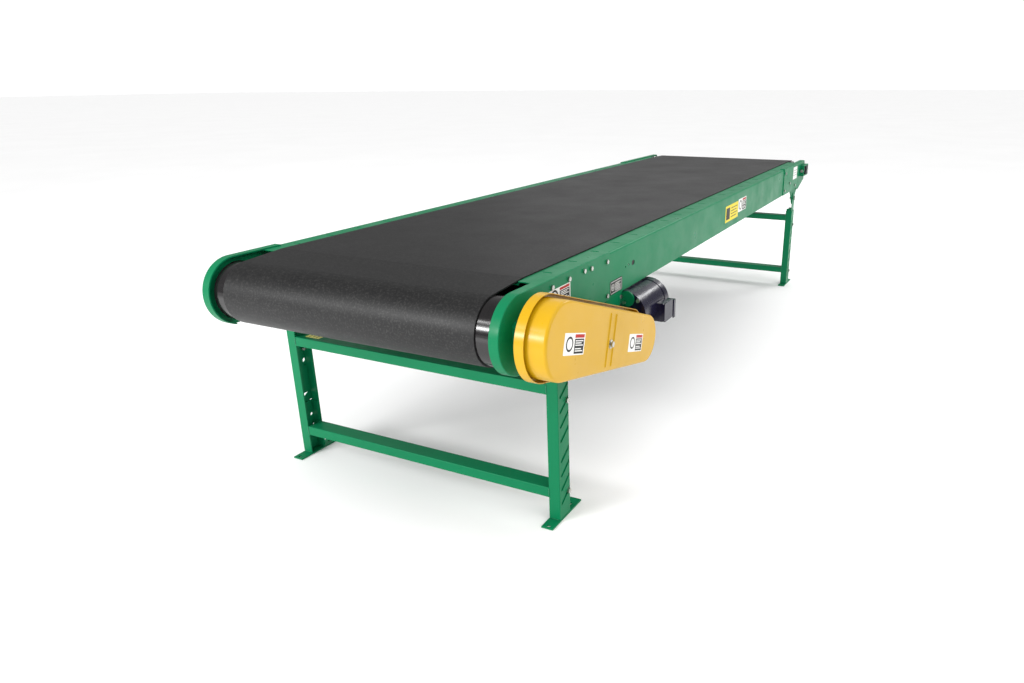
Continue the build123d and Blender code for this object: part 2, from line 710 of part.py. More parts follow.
HUB_Y = DRIVE_Y - 28
OUT_KEY = 6.4
DRIVEN_HUB_R, DRIVER_HUB_R = 34.0, 27.0
driven = sprocket(HEAD_X, HEAD_Z, DRIVEN_TEETH, DRIVEN_R, DRIVEN_HUB_R, HEAD_SHAFT_R, HUB_Y, KEY_H)
driver = sprocket(OUT_X, OUT_Z, DRIVER_TEETH, DRIVER_R, DRIVER_HUB_R, OUT_SHAFT_R, HUB_Y, OUT_KEY)
save(driven, "driven_sprocket")
save(driver, "driver_sprocket")


def chain_route():
    """Pitch line: start, heading and length of each straight run, and each wrap."""
    head, out = (HEAD_X, HEAD_Z), (OUT_X, OUT_Z)
    up0, up1 = tangent_line(out, DRIVER_R, head, DRIVEN_R, -1, -1)
    low0, low1 = tangent_line(head, DRIVEN_R, out, DRIVER_R, -1, -1)
    return up0, up1, low0, low1


def wrap(centre, radius, start, stop):
    """Clockwise arc from start to stop as (length, point function)."""
    a0 = math.atan2(start[1] - centre[1], start[0] - centre[0])
    a1 = math.atan2(stop[1] - centre[1], stop[0] - centre[0])
    turn = (a0 - a1) % (2 * math.pi)

    def at(d):
        angle = a0 - d / radius
        return (centre[0] + radius * math.cos(angle), centre[1] + radius * math.sin(angle))
    return turn * radius, at


def run(start, stop):
    """Straight run as (length, point function)."""
    length = math.dist(start, stop)

    def at(d):
        return tuple(a + (b - a) * d / length for a, b in zip(start, stop))
    return length, at


def chain_pins():
    """Pin centres, evenly spaced along the closed pitch line; an even number of links."""
    up0, up1, low0, low1 = chain_route()
    pieces = [
        run(up0, up1),
        wrap((HEAD_X, HEAD_Z), DRIVEN_R, up1, low0),
        run(low0, low1),
        wrap((OUT_X, OUT_Z), DRIVER_R, low1, up0),
    ]
    total = sum(length for length, _ in pieces)
    count = 2 * round(total / PITCH / 2)
    pins = []
    for k in range(count):
        d = total * k / count
        for length, at in pieces:
            if d < length:
                pins.append(at(d))
                break
            d -= length
    return pins


LINK_T = 2.0
INNER_Y = 4.8                 # from the chain's middle to the inside of the inner plates
LINK_R = 6.8
PIN_R, PIN_FIT = 2.54, 0.06


def on_sprocket(pin):
    """True where a sprocket's teeth pass between the link plates."""
    reach = ROLLER_R + 0.5
    near_head = math.dist(pin, (HEAD_X, HEAD_Z)) < tip_radius(DRIVEN_TEETH) + reach
    near_out = math.dist(pin, (OUT_X, OUT_Z)) < tip_radius(DRIVER_TEETH) + reach
    return near_head or near_out


def link_plate(a, b, y, bore):
    """Obround side plate between two pins, from y outward (thickness signed by its side)."""
    mid = ((a[0] + b[0]) / 2, (a[1] + b[1]) / 2)
    tilt = math.degrees(math.atan2(b[1] - a[1], b[0] - a[0]))
    with BuildSketch(side(y)) as flat:
        with Locations(Location((*mid, 0), (0, 0, tilt))):
            SlotCenterToCenter(math.dist(a, b), 2 * LINK_R)
        if bore:
            with Locations(a, b):
                Circle(bore, mode=Mode.SUBTRACT)
    return flat.sketch


def chain_link(a, b, inner):
    """One link: two plates with two rollers (inner) or two pins (outer).

    Where the teeth pass, rollers are left out and the pins are short studs.
    """
    with BuildPart() as link:
        for s in (1, -1):
            plate_y = INNER_Y if inner else INNER_Y + LINK_T + TOUCH
            flat = link_plate(a, b, DRIVE_Y + s * plate_y, PIN_R + PIN_FIT if inner else 0)
            extrude(flat, amount=-s * LINK_T)
        for pin in (a, b):
            free = not on_sprocket(pin)
            if inner and free:
                with BuildSketch(side(DRIVE_Y - INNER_Y)):
                    with Locations(pin):
                        Circle(ROLLER_R)
                        Circle(PIN_R + PIN_FIT, mode=Mode.SUBTRACT)
                extrude(amount=-2 * INNER_Y)
            if not inner:
                for s in (1, -1):
                    reach = 0 if free else INNER_Y + TOUCH
                    with BuildSketch(side(DRIVE_Y + s * reach)):
                        with Locations(pin):
                            Circle(PIN_R)
                    extrude(amount=-s * (INNER_Y + 2 * LINK_T + 0.8 - reach))
    return link.part


pins = chain_pins()
links = []
for k, pin in enumerate(pins):
    links += chain_link(pin, pins[(k + 1) % len(pins)], k % 2 == 0).solids()
group(links, "roller_chain")

# ---- gearbox: worm reducer hung under the drive-side rail ----
GEARBOX_Y0, GEARBOX_Y1 = 503.0, 569.0
GEARBOX_TOP = 578.0
GEARBOX_LOW = OUT_Z - 48
GEARBOX_W = 116.0
SEAL_R = 22.0
INPUT_BORE_R = 17.0
WHEEL_TIP_R, WORM_RIDGE_R, WORM_SHAFT_R = 22.7, 10.9, 8.0
WORM_TEETH = 20
CAVITY_R = 30.0
INPUT_R = 32.0
ADAPTER_T = 8.0
ADAPTER_X = MOTOR_FACE + 23

with BuildPart() as housing:
    with BuildSketch(side(GEARBOX_Y0)):
        with Locations((OUT_X, (GEARBOX_LOW + GEARBOX_TOP) / 2)):
            RectangleRounded(GEARBOX_W, GEARBOX_TOP - GEARBOX_LOW, 16)
    extrude(amount=GEARBOX_Y0 - GEARBOX_Y1)
    fillet(housing.edges().filter_by(Axis.Y, reverse=True).group_by(Axis.Y)[0], 4)
    with BuildSketch(across(ADAPTER_X)):
        with Locations((MOTOR_Y, MOTOR_Z)):
            Circle(INPUT_R)
    extrude(amount=OUT_X - ADAPTER_X - 20)
    # wheel chamber, worm chamber and the input bore
    with BuildSketch(side(MOTOR_Y - 16)):
        with Locations((OUT_X, OUT_Z)):
            Circle(CAVITY_R)
    extrude(amount=-32, mode=Mode.SUBTRACT)
    with BuildSketch(across(ADAPTER_X)):
        with Locations((MOTOR_Y, MOTOR_Z)):
            Circle(INPUT_BORE_R)
    extrude(amount=OUT_X + 34 - ADAPTER_X, mode=Mode.SUBTRACT)
    with BuildSketch(side(GEARBOX_Y0)):
        with Locations((OUT_X, OUT_Z)):
            Circle(SEAL_R)
    extrude(amount=-70, mode=Mode.SUBTRACT)
save(housing.part, "gearbox_housing")

CAP_R, CAP_T, CAP_DEPTH = 34.0, 7.0, 14.0


def shaft_cover(s):
    """Bearing cap on one side of the housing, with its shaft bore."""
    y = GEARBOX_Y1 if s > 0 else GEARBOX_Y0
    with BuildPart() as cap:
        with BuildSketch(side(y)):
            with Locations((OUT_X, OUT_Z)):
                Circle(CAP_R)
        extrude(amount=-s * CAP_T)
        with BuildSketch(side(y)):
            with Locations((OUT_X, OUT_Z)):
                Circle(SEAL_R - TOUCH)
        extrude(amount=s * CAP_DEPTH)
        with BuildSketch(side(y - s * CAP_DEPTH)):
            with Locations((OUT_X, OUT_Z)):
                Circle(OUT_SHAFT_R + RUN)
        extrude(amount=-s * (CAP_DEPTH + CAP_T + 1), mode=Mode.SUBTRACT)
        with BuildSketch(side(y + s * CAP_T)):
            with Locations((OUT_X, OUT_Z)):
                with PolarLocations(28, 6):
                    Circle(2.6)
        extrude(amount=s * 8, mode=Mode.SUBTRACT)
    return cap.part


group([shaft_cover(s) for _, s in SIDES], "gearbox_shaft_covers")

with BuildPart() as output_shaft:
    with BuildSketch(side(GEARBOX_Y0 - 4)):
        with Locations((OUT_X, OUT_Z)):
            Circle(OUT_SHAFT_R)
    extrude(amount=GEARBOX_Y0 - 4 - HEAD_SHAFT_END)
    chamfer(output_shaft.faces().filter_by(GeomType.PLANE).edges(), 1.5)
out_key_low = OUT_Z + OUT_SHAFT_R - OUT_KEY / 2
out_key_lo = (OUT_X - OUT_KEY / 2, KEY_Y0, out_key_low)
keyed_shaft = cut_box(output_shaft.part, out_key_lo, (OUT_X + OUT_KEY / 2, KEY_Y1, out_key_low + OUT_KEY))

with BuildPart() as key:
    with BuildSketch(Plane.XY.offset(out_key_low)):
        with Locations((OUT_X, (KEY_Y0 + KEY_Y1) / 2)):
            Rectangle(OUT_KEY, KEY_Y1 - KEY_Y0)
    extrude(amount=OUT_KEY)
group([keyed_shaft, key.part], "output_shaft_and_key")

with BuildPart() as wheel:
    with BuildSketch(side(MOTOR_Y - 8)):
        with Locations((OUT_X, OUT_Z)):
            Circle(WHEEL_TIP_R)
            with PolarLocations(WHEEL_TIP_R, WORM_TEETH):
                Circle(1.7, mode=Mode.SUBTRACT)
            Circle(OUT_SHAFT_R, mode=Mode.SUBTRACT)
    extrude(amount=-16)
save(wheel.part, "worm_wheel")

# worm cut on the motor-driven shaft; thread shown as shallow ridges clear of the wheel
WORM_X0, WORM_X1 = OUT_X - 24, OUT_X + 24
WORM_PITCH = math.pi * 2.2
SPINDLE_X = MOTOR_FACE + 6     # where the worm joins the rotor's spindle
with BuildPart() as worm:
    with BuildSketch(across(SPINDLE_X)):
        with Locations((MOTOR_Y, MOTOR_Z)):
            Circle(WORM_SHAFT_R)
    extrude(amount=OUT_X + 32 - SPINDLE_X)
    for k in range(int((WORM_X1 - WORM_X0) / WORM_PITCH)):
        with BuildSketch(across(WORM_X0 + k * WORM_PITCH)):
            with Locations((MOTOR_Y, MOTOR_Z)):
                Circle(WORM_RIDGE_R)
        extrude(amount=WORM_PITCH / 2)
save(worm.part, "worm")

# adapter between the gearbox's input neck and the motor's face
FLANGE_R = 81.0
BOLT_CIRCLE_R, MOTOR_BOLT_R = 74.6, 4.5
EAR = (548.0, 597.0)
EAR_R, EAR_T = 27.0, 6.0
EAR_X = MOTOR_FACE + ADAPTER_T
EAR_BOLTS = ((530.0, 604.0), (541.0, 585.0))
EAR_BOLT_R = 4.0
SPIN = (MOTOR_Y, MOTOR_Z)
with BuildPart() as adapter:
    with BuildSketch(across(MOTOR_FACE)):
        with Locations(SPIN):
            Circle(FLANGE_R)
    extrude(amount=ADAPTER_T)
    with BuildSketch(across(MOTOR_FACE)):
        with Locations(SPIN):
            Circle(INPUT_R)
    extrude(amount=ADAPTER_X - MOTOR_FACE)
    with BuildSketch(across(MOTOR_FACE)):
        with Locations(SPIN):
            Circle(INPUT_BORE_R)
            with PolarLocations(BOLT_CIRCLE_R, 4, start_angle=45):
                Circle(MOTOR_BOLT_R + TOUCH)
        with Locations(*EAR_BOLTS):
            Circle(EAR_BOLT_R)
    extrude(amount=ADAPTER_X - MOTOR_FACE, mode=Mode.SUBTRACT)
save(adapter.part, "motor_adapter")

# ---- motor: end bells, barrel, fan cowl and what turns inside them ----
MOTOR_REAR = 895.5
COWL_X = 932.0
FRONT_X = MOTOR_FACE - 16
SHELL_T = 4.0
STATOR_X0, STATOR_X1, STATOR_BORE_R = 960.0, MOTOR_FACE - 42, 42.0
SPINDLE_REAR = 912.0
SPINDLE_R = 8.0
BELL_T = 10.0
COWL_OUT = 1.6                # the cowl stands this far outside the barrel
COWL_T = 3.0
FAN_X, FAN_T = 914.0, 12.0
COWL_HOLES = ((20, 8), (36, 14), (52, 20))


def ring_x(x0, x1, outer, inner=0.0, at=SPIN):
    """Ring or disc about the motor's axis between two X positions."""
    with BuildPart() as body:
        with BuildSketch(across(x0)):
            with Locations(at):
                Circle(outer)
                if inner:
                    Circle(inner, mode=Mode.SUBTRACT)
        extrude(amount=x1 - x0)
    return body.part


with BuildPart() as front_bell:
    with BuildSketch(across(FRONT_X)):
        with Locations(SPIN):
            Circle(FLANGE_R)
            Circle(SPINDLE_R + 2, mode=Mode.SUBTRACT)
    extrude(amount=MOTOR_FACE - FRONT_X)
    with BuildSketch(across(FRONT_X - BELL_T)):
        with Locations(SPIN):
            Circle(MOTOR_R - SHELL_T)
            Circle(STATOR_BORE_R - 2, mode=Mode.SUBTRACT)
    extrude(amount=BELL_T)
    with BuildSketch(across(MOTOR_FACE)):
        with Locations(SPIN):
            with PolarLocations(BOLT_CIRCLE_R, 4, start_angle=45):
                Circle(MOTOR_BOLT_R + TOUCH)
    extrude(amount=FRONT_X - MOTOR_FACE, mode=Mode.SUBTRACT)
rear_bell = ring_x(COWL_X + 2, COWL_X + 2 + BELL_T, MOTOR_R - SHELL_T, SPINDLE_R + RUN)
group([front_bell.part, rear_bell], "motor_end_bells")

barrel = ring_x(COWL_X, FRONT_X, MOTOR_R, MOTOR_R - SHELL_T)
save(barrel, "motor_barrel")
save(ring_x(STATOR_X0, STATOR_X1, MOTOR_R - SHELL_T, STATOR_BORE_R), "motor_stator")
core = ring_x(STATOR_X0 + 5, STATOR_X1 - 5, STATOR_BORE_R - 1, SPINDLE_R)
group([core, ring_x(SPINDLE_REAR, SPINDLE_X - 1, SPINDLE_R)], "motor_rotor")

with BuildPart() as cowl:
    with BuildSketch(across(MOTOR_REAR)):
        with Locations(SPIN):
            Circle(MOTOR_R + COWL_OUT)
    extrude(amount=COWL_X - MOTOR_REAR)
    fillet(cowl.edges().group_by(Axis.X)[0], 5)
    with BuildSketch(across(MOTOR_REAR + COWL_T)):
        with Locations(SPIN):
            Circle(MOTOR_R - 2)
    extrude(amount=COWL_X - MOTOR_REAR, mode=Mode.SUBTRACT)
    with BuildSketch(across(MOTOR_REAR)):
        with Locations(SPIN):
            for radius, count in COWL_HOLES:
                with PolarLocations(radius, count):
                    Circle(4)
    extrude(amount=COWL_T + 1, mode=Mode.SUBTRACT)
save(cowl.part, "motor_fan_cowl")

with BuildPart() as fan:
    with BuildSketch(across(FAN_X)):
        with Locations(SPIN):
            Circle(14)
            Circle(SPINDLE_R, mode=Mode.SUBTRACT)
    extrude(amount=FAN_T + 2)
    with BuildSketch(across(FAN_X)):
        with Locations(SPIN):
            with PolarLocations(38, 7):
                Rectangle(50, 2.5)
    extrude(amount=FAN_T)
save(fan.part, "motor_fan")

flange_screw = hex_bolt(7, 6, MOTOR_BOLT_R, 20)
for spot in PolarLocations(BOLT_CIRCLE_R, 4, start_angle=45).local_locations:
    centre = spot.position
    frame_bolts.append(across_at(EAR_X, MOTOR_Y + centre.X, MOTOR_Z + centre.Y) * flange_screw)
ear_screw = hex_bolt(6.5, 5, EAR_BOLT_R, EAR_T + ADAPTER_T)
frame_bolts += [across_at(EAR_X + EAR_T, y, z) * ear_screw for y, z in EAR_BOLTS]

# narrow angle bracket at the rear of the barrel, reaching outwards and then down
BASE_X0, BASE_X1 = 906.0, 922.0
BASE_Y, BASE_T = 642.0, 5.0
BASE_TOP, BASE_H = 551.0, 67.0
with BuildPart() as base:
    with BuildSketch(across(BASE_X0)):
        with Locations((MOTOR_Y, BASE_TOP)):
            Rectangle(BASE_Y - MOTOR_Y, BASE_T, align=(Align.MIN, Align.MAX))
        with Locations((BASE_Y, BASE_TOP)):
            Rectangle(BASE_T, BASE_H, align=(Align.MAX, Align.MAX))
        with Locations(SPIN):
            Circle(MOTOR_R + COWL_OUT + TOUCH, mode=Mode.SUBTRACT)
    extrude(amount=BASE_X1 - BASE_X0)
save(base.part, "motor_base")

# conduit box on the barrel's outer side, with its lid and a blanked conduit hub
BOX_X0, BOX_X1 = 934.0, 1010.0
BOX_Y0, BOX_Y1 = 584.0, 637.0
BOX_Z0, BOX_Z1 = 492.0, 558.0
BOX_CX, BOX_CY, BOX_CZ = (BOX_X0 + BOX_X1) / 2, (BOX_Y0 + BOX_Y1) / 2, (BOX_Z0 + BOX_Z1) / 2
LID_T = 4.0
with BuildPart() as box_body:
    with BuildSketch(across(BOX_X0)):
        with Locations((BOX_CY, BOX_CZ)):
            RectangleRounded(BOX_Y1 - BOX_Y0, BOX_Z1 - BOX_Z0, 6)
        with Locations(SPIN):
            Circle(MOTOR_R + TOUCH, mode=Mode.SUBTRACT)
    extrude(amount=BOX_X1 - BOX_X0)
    with BuildSketch(side(BOX_Y1)):
        with Locations((BOX_CX, BOX_CZ)):
            RectangleRounded(BOX_X1 - BOX_X0 - 8, BOX_Z1 - BOX_Z0 - 10, 5)
    extrude(amount=14, mode=Mode.SUBTRACT)
    with BuildSketch(Plane.XY.offset(BOX_Z0)):
        with Locations((BOX_CX, BOX_Y1 - 22)):
            Circle(13)
    extrude(amount=-8)
save(box_body.part, "conduit_box")

with BuildPart() as lid:
    with BuildSketch(side(BOX_Y1)):
        with Locations((BOX_CX, BOX_CZ)):
            RectangleRounded(BOX_X1 - BOX_X0 + 2, BOX_Z1 - BOX_Z0 + 2, 6)
    extrude(amount=-LID_T)
save(lid.part, "conduit_box_lid")

# hanger: plate welded up the inside of the rail, a seat on top of the gearbox, and an ear for the adapter
HANGER_T = 6.0
HANGER_X0, HANGER_X1 = 1080.0, 1256.0
HANGER_STEP_X, HANGER_STEP_Z = 1145.0, 613.0   # stepped back to clear the ear's bolts
HANGER_LOW = 627.0            # clear of the motor's flange
SEAT_X0 = 1183.0
SEAT_Y = RAIL_IN - HANGER_T - 22
HANGER_TOP = 720.0
with BuildPart() as hanger:
    with BuildSketch(across(SEAT_X0)):
        with Locations((RAIL_IN, GEARBOX_TOP)):
            Rectangle(RAIL_IN - SEAT_Y, HANGER_T, align=(Align.MAX, Align.MIN))
    extrude(amount=HANGER_X1 - SEAT_X0)
    with BuildSketch(side(RAIL_IN)):
        with BuildLine():
            Polyline(
                (HANGER_STEP_X, GEARBOX_TOP),
                (HANGER_X1, GEARBOX_TOP),
                (HANGER_X1, HANGER_TOP),
                (HANGER_X0, HANGER_TOP),
                (HANGER_X0, HANGER_LOW + 56),
                (HANGER_X0 + 27, HANGER_LOW),
                (EAR_X, HANGER_LOW),
                (EAR_X, HANGER_STEP_Z),
                (HANGER_STEP_X, HANGER_STEP_Z),
                close=True,
            )
        make_face()
    extrude(amount=HANGER_T)
    with BuildSketch(across(EAR_X)):
        with Locations(EAR):
            Circle(EAR_R)
        with Locations(EAR_BOLTS[0]):
            Circle(EAR_R / 2)
        make_hull()
        with Locations(*EAR_BOLTS):
            Circle(EAR_BOLT_R, mode=Mode.SUBTRACT)
        with Locations(SPIN):
            Circle(INPUT_R + FIT, mode=Mode.SUBTRACT)
    extrude(amount=EAR_T)
save(hanger.part, "gearbox_hanger")

# ---- chain guard: back pan with a rim, and a cover that lifts straight off ----
def guard_shape(r1, r2):
    """Hull of the guard's two round ends."""
    with BuildSketch(mode=Mode.PRIVATE) as plan:
        with Locations((HEAD_X, HEAD_Z)):
            Circle(r1)
        with Locations((OUT_X, OUT_Z)):
            Circle(r2)
        make_hull()
    return plan.sketch


SHEET = 2.0
STUD = (1522.5, 580.0)
COVER_BOLT_R, WASHER_T = 4.0, 2.0
with BuildPart() as pan:
    with BuildSketch(side(GUARD_BACK)):
        add(guard_shape(PAN_R1, PAN_R2))
    extrude(amount=GUARD_BACK - GUARD_RIM)
    with BuildSketch(side(GUARD_BACK + SHEET)):
        add(guard_shape(PAN_R1 - SHEET, PAN_R2 - SHEET))
    extrude(amount=GUARD_BACK - GUARD_RIM, mode=Mode.SUBTRACT)
    with BuildSketch(side(GUARD_BACK)):
        with Locations((HEAD_X, HEAD_Z)):
            Circle(38)
        with Locations((OUT_X, OUT_Z)):
            Circle(30)
        with Locations(*GUARD_MOUNTS):
            Circle(BOLT_HOLE)
    extrude(amount=-SHEET, mode=Mode.SUBTRACT)
save(pan.part, "guard_back_pan")

COVER_BACK = 592.0
RIB_SPREAD, RIB_W, RIB_RISE = 19.0, 9.0, 3.0
RIB_MARGIN = 14.0
guard_tilt = math.degrees(math.atan2(HEAD_Z - OUT_Z, HEAD_X - OUT_X))
with BuildPart() as cover:
    with BuildSketch(side(COVER_BACK)):
        add(guard_shape(COVER_R1, COVER_R2))
    extrude(amount=COVER_BACK - GUARD_FACE)
    fillet(cover.edges().group_by(Axis.Y)[-1], 8)
    with BuildSketch(side(COVER_BACK)):
        add(guard_shape(COVER_R1 - SHEET, COVER_R2 - SHEET))
    extrude(amount=COVER_BACK - GUARD_FACE + SHEET + 1, mode=Mode.SUBTRACT)
    # two pressed ribs across the face, either side of the cover bolt
    for k in (-1, 1):
        with BuildSketch(side(GUARD_FACE - SHEET / 2)):
            add(guard_shape(COVER_R1 - RIB_MARGIN, COVER_R2 - RIB_MARGIN))
            with Locations(Location((*STUD, 0), (0, 0, guard_tilt))):
                with Locations((k * RIB_SPREAD, 0)):
                    Rectangle(RIB_W, 300, mode=Mode.INTERSECT)
        extrude(amount=-SHEET / 2 - RIB_RISE, taper=35)
    with BuildSketch(side(COVER_BACK)):
        with Locations(STUD):
            Circle(5.5)
    extrude(amount=-90, mode=Mode.SUBTRACT)
save(cover.part, "guard_cover")

with BuildPart() as stud:
    with BuildSketch(side(GUARD_BACK + SHEET)):
        with Locations(STUD):
            RegularPolygon(9, 6)
    extrude(amount=GUARD_BACK - GUARD_FACE + 2 * SHEET + 2)
    with BuildSketch(side(GUARD_FACE)):
        with Locations(STUD):
            Circle(COVER_BOLT_R + FIT)
    extrude(amount=26, mode=Mode.SUBTRACT)
cover_bolt = facing(STUD[0], GUARD_FACE + WASHER_T, STUD[1], 1) * hex_bolt(9, 7, COVER_BOLT_R, 22)
with BuildPart() as washer:
    with BuildSketch(side(GUARD_FACE)):
        with Locations(STUD):
            Circle(13)
            Circle(COVER_BOLT_R + FIT, mode=Mode.SUBTRACT)
    extrude(amount=-WASHER_T)
group([cover_bolt, washer.part], "guard_cover_bolt")

standoffs = []
for x, z in GUARD_MOUNTS:
    with BuildPart() as standoff:
        with BuildSketch(side(PLATE_OUT)):
            with Locations((x, z)):
                Circle(8)
        extrude(amount=PLATE_OUT - GUARD_BACK)
        with BuildSketch(side(HALF + 0.1)):
            with Locations((x, z)):
                Circle(4.0)
        extrude(amount=HALF - GUARD_BACK - SHEET)
        with BuildSketch(side(GUARD_BACK + SHEET)):
            with Locations((x, z)):
                RegularPolygon(7.5, 6)
        extrude(amount=-5)
    standoffs.append(standoff.part)
group(standoffs + [stud.part], "guard_posts")


# ---- plate bolts ----
plate_screw = hex_bolt(7.5, 5.5, 4.0, 16)
plate_nut = hex_nut(7.5, 6, 4.0)
plate_bolt_places = [(1, p) for p in DRIVE_BOLTS] + [(-1, p) for p in IDLE_BOLTS]
plate_bolt_places += [(s, p) for _, s in SIDES for p in TAIL_BOLTS]
for s, (x, z) in plate_bolt_places:
    frame_bolts.append(facing(x, s * PLATE_OUT, z, s) * plate_screw)
    frame_bolts.append(facing(x, s * RAIL_IN, z, -s) * plate_nut)

# ---- knee plates: welded inside the rails, each carries a support's pivot ----
KNEE_T = 5.0
KNEE_Y = RAIL_IN - 0.05
KNEE_TOP_W, KNEE_EYE_R = 210.0, 38.0
PIVOT_R, PIVOT_HEX_R = 8.0, 14.0


def knee_plate(x, s):
    with BuildPart() as plate:
        with BuildSketch(side(s * KNEE_Y)):
            with BuildLine():
                Polyline(
                    (x - KNEE_EYE_R, PIVOT_Z),
                    (x - KNEE_TOP_W / 2, PLATE_BOTTOM),
                    (x - KNEE_TOP_W / 2, PLATE_BOTTOM + 18),
                    (x + KNEE_TOP_W / 2, PLATE_BOTTOM + 18),
                    (x + KNEE_TOP_W / 2, PLATE_BOTTOM),
                    (x + KNEE_EYE_R, PIVOT_Z),
                )
                CenterArc((x, PIVOT_Z), KNEE_EYE_R, 180, 180)
            make_face()
            with Locations((x, PIVOT_Z)):
                Circle(PIVOT_R, mode=Mode.SUBTRACT)
            with Locations((SNUB_X, SNUB_Z)):
                Circle(AXLE_R + FIT, mode=Mode.SUBTRACT)
        extrude(amount=s * KNEE_T)
    return plate.part


def pivot_bolt(x, s):
    """Shoulder bolt: head outside the leg, collar between leg and knee plate, nut inside."""
    with BuildPart() as bolt:
        with BuildSketch(side(s * (LEG_OUT - LEG_T))):
            with Locations((x, PIVOT_Z)):
                RegularPolygon(PIVOT_HEX_R, 6)
        extrude(amount=-s * 9)
        with BuildSketch(side(s * (LEG_OUT - LEG_T))):
            with Locations((x, PIVOT_Z)):
                Circle(PIVOT_R)
        extrude(amount=s * 24)
        with BuildSketch(side(s * KNEE_Y)):
            with Locations((x, PIVOT_Z)):
                Circle(15)
        extrude(amount=-s * 1.6)
        with BuildSketch(side(s * (KNEE_Y - KNEE_T))):
            with Locations((x, PIVOT_Z)):
                RegularPolygon(PIVOT_HEX_R, 6)
        extrude(amount=s * 8)
    return bolt.part


group([knee_plate(x, s) for x in SUPPORT_XS for _, s in SIDES], "knee_plates")
frame_bolts += [pivot_bolt(x, s) for x in SUPPORT_XS for _, s in SIDES]
group(frame_bolts, "frame_bolts")

# ---- floor supports ----
SLOT_X, SLOT_RISE, SLOT_RUN = -5.0, 30.0, 46.0
SLOT_ZS = (432.0, 384.0, 336.0, 288.0, 220.0, 172.0, 124.0, 76.0)
SLOT_WIDTH = 11.0
CLAMP_DX = -19.0
CLAMP_R = 5.0
slot_tilt = math.degrees(math.atan2(SLOT_RISE, -SLOT_RUN))
slot_length = math.hypot(SLOT_RISE, SLOT_RUN)


def slot_line_z(z):
    """Height of a diagonal slot's middle line at the clamp bolt."""
    return z - SLOT_RISE / SLOT_RUN * (CLAMP_DX - SLOT_X)


CLAMP_ZS = (slot_line_z(SLOT_ZS[1]), slot_line_z(SLOT_ZS[7]))
LEG_BOTTOM = 8.0
UPPER_BOTTOM, UPPER_TOP = 226.0, PIVOT_Z + 32
UPPER_DOWN, UPPER_UP = 60.0, 30.0      # the frame's travel on the upper legs
UPPER_FLANGE_TOP = 500.0
FOOT_TOP = 190.0
FOOT_TRAVEL = 50.0
FOOT_T = 5.0
FOOT_L, FOOT_SHIFT = 192.0, 12.0       # the foot plate reaches further back than forward
ANCHOR_X, ANCHOR_R = 72.0, 6.5
ANCHOR_Y = LEG_OUT - LEG_D / 2 - 1


def channel(x, s, width, depth, outer_y, z0, z1):
    """Upright C-channel with its web outwards."""
    with BuildSketch(Plane.XY.offset(z0), mode=Mode.PRIVATE) as section:
        with Locations((x, s * (outer_y - depth / 2))):
            Rectangle(width, depth)
        with Locations((x, s * (outer_y - LEG_T))):
            Rectangle(
                width - 2 * LEG_T,
                depth,
                align=(Align.CENTER, Align.MAX if s > 0 else Align.MIN),
                mode=Mode.SUBTRACT,
            )
    return extrude(section.sketch, amount=z1 - z0, mode=Mode.PRIVATE)


def leg(x, s):
    with BuildPart() as body:
        add(channel(x, s, LEG_W, LEG_D, LEG_OUT, LEG_BOTTOM, LEG_TOP))
        fillet(body.edges().filter_by(Axis.Z).sort_by(lambda e: -s * e.center().Y)[:2], 3)
        with BuildSketch(side(s * LEG_OUT)):
            for z in SLOT_ZS:
                with Locations(Location((x + SLOT_X, z, 0), (0, 0, slot_tilt))):
                    SlotOverall(slot_length + SLOT_WIDTH, SLOT_WIDTH)
        extrude(amount=s * 2 * LEG_T, mode=Mode.SUBTRACT)
    return body.part


NEST = LEG_W - 2 * LEG_T - 0.8
NEST_OUT = LEG_OUT - LEG_T - 0.2


def upper_leg(x, s):
    """Inner channel with a flat eye at its top for the pivot bolt."""
    with BuildPart() as body:
        add(channel(x, s, NEST, LEG_D - 6, NEST_OUT, UPPER_BOTTOM, UPPER_TOP))
        with BuildSketch(Plane.XY.offset(UPPER_FLANGE_TOP)):
            with Locations((x, s * (NEST_OUT - LEG_T))):
                Rectangle(NEST + 2, LEG_D, align=(Align.CENTER, Align.MAX if s > 0 else Align.MIN))
        extrude(amount=UPPER_TOP, mode=Mode.SUBTRACT)
        fillet(body.edges().filter_by(Axis.Y).group_by(Axis.Z)[-1], 20)
        with BuildSketch(side(s * (NEST_OUT + 1))):
            with Locations((x, PIVOT_Z)):
                Circle(PIVOT_R + RUN)
            slot_z0 = CLAMP_ZS[0] - UPPER_DOWN
            slot_z1 = CLAMP_ZS[0] + UPPER_UP
            with Locations(Location((x + CLAMP_DX, (slot_z0 + slot_z1) / 2, 0), (0, 0, 90))):
                SlotOverall(slot_z1 - slot_z0 + SLOT_WIDTH + 1, SLOT_WIDTH)
        extrude(amount=s * (LEG_T + 2), mode=Mode.SUBTRACT)
    return body.part


def foot(x, s):
    """Foot plate with an upright channel that telescopes in the leg."""
    with BuildPart() as body:
        add(channel(x, s, NEST, LEG_D - 6, NEST_OUT, 0, FOOT_TOP))
        with BuildSketch():
            with Locations((x - FOOT_SHIFT, s * ANCHOR_Y)):
                Rectangle(FOOT_L, LEG_D + 2)
            with Locations((x - ANCHOR_X, s * ANCHOR_Y), (x + ANCHOR_X, s * ANCHOR_Y)):
                Circle(ANCHOR_R, mode=Mode.SUBTRACT)
        extrude(amount=FOOT_T)
        with BuildSketch(side(s * (NEST_OUT + 1))):
            slot_z0 = CLAMP_ZS[1]
            slot_z1 = CLAMP_ZS[1] + FOOT_TRAVEL
            with Locations(Location((x + CLAMP_DX, (slot_z0 + slot_z1) / 2, 0), (0, 0, 90))):
                SlotOverall(slot_z1 - slot_z0 + SLOT_WIDTH + 1, SLOT_WIDTH)
        extrude(amount=s * (LEG_T + 2), mode=Mode.SUBTRACT)
    return body.part


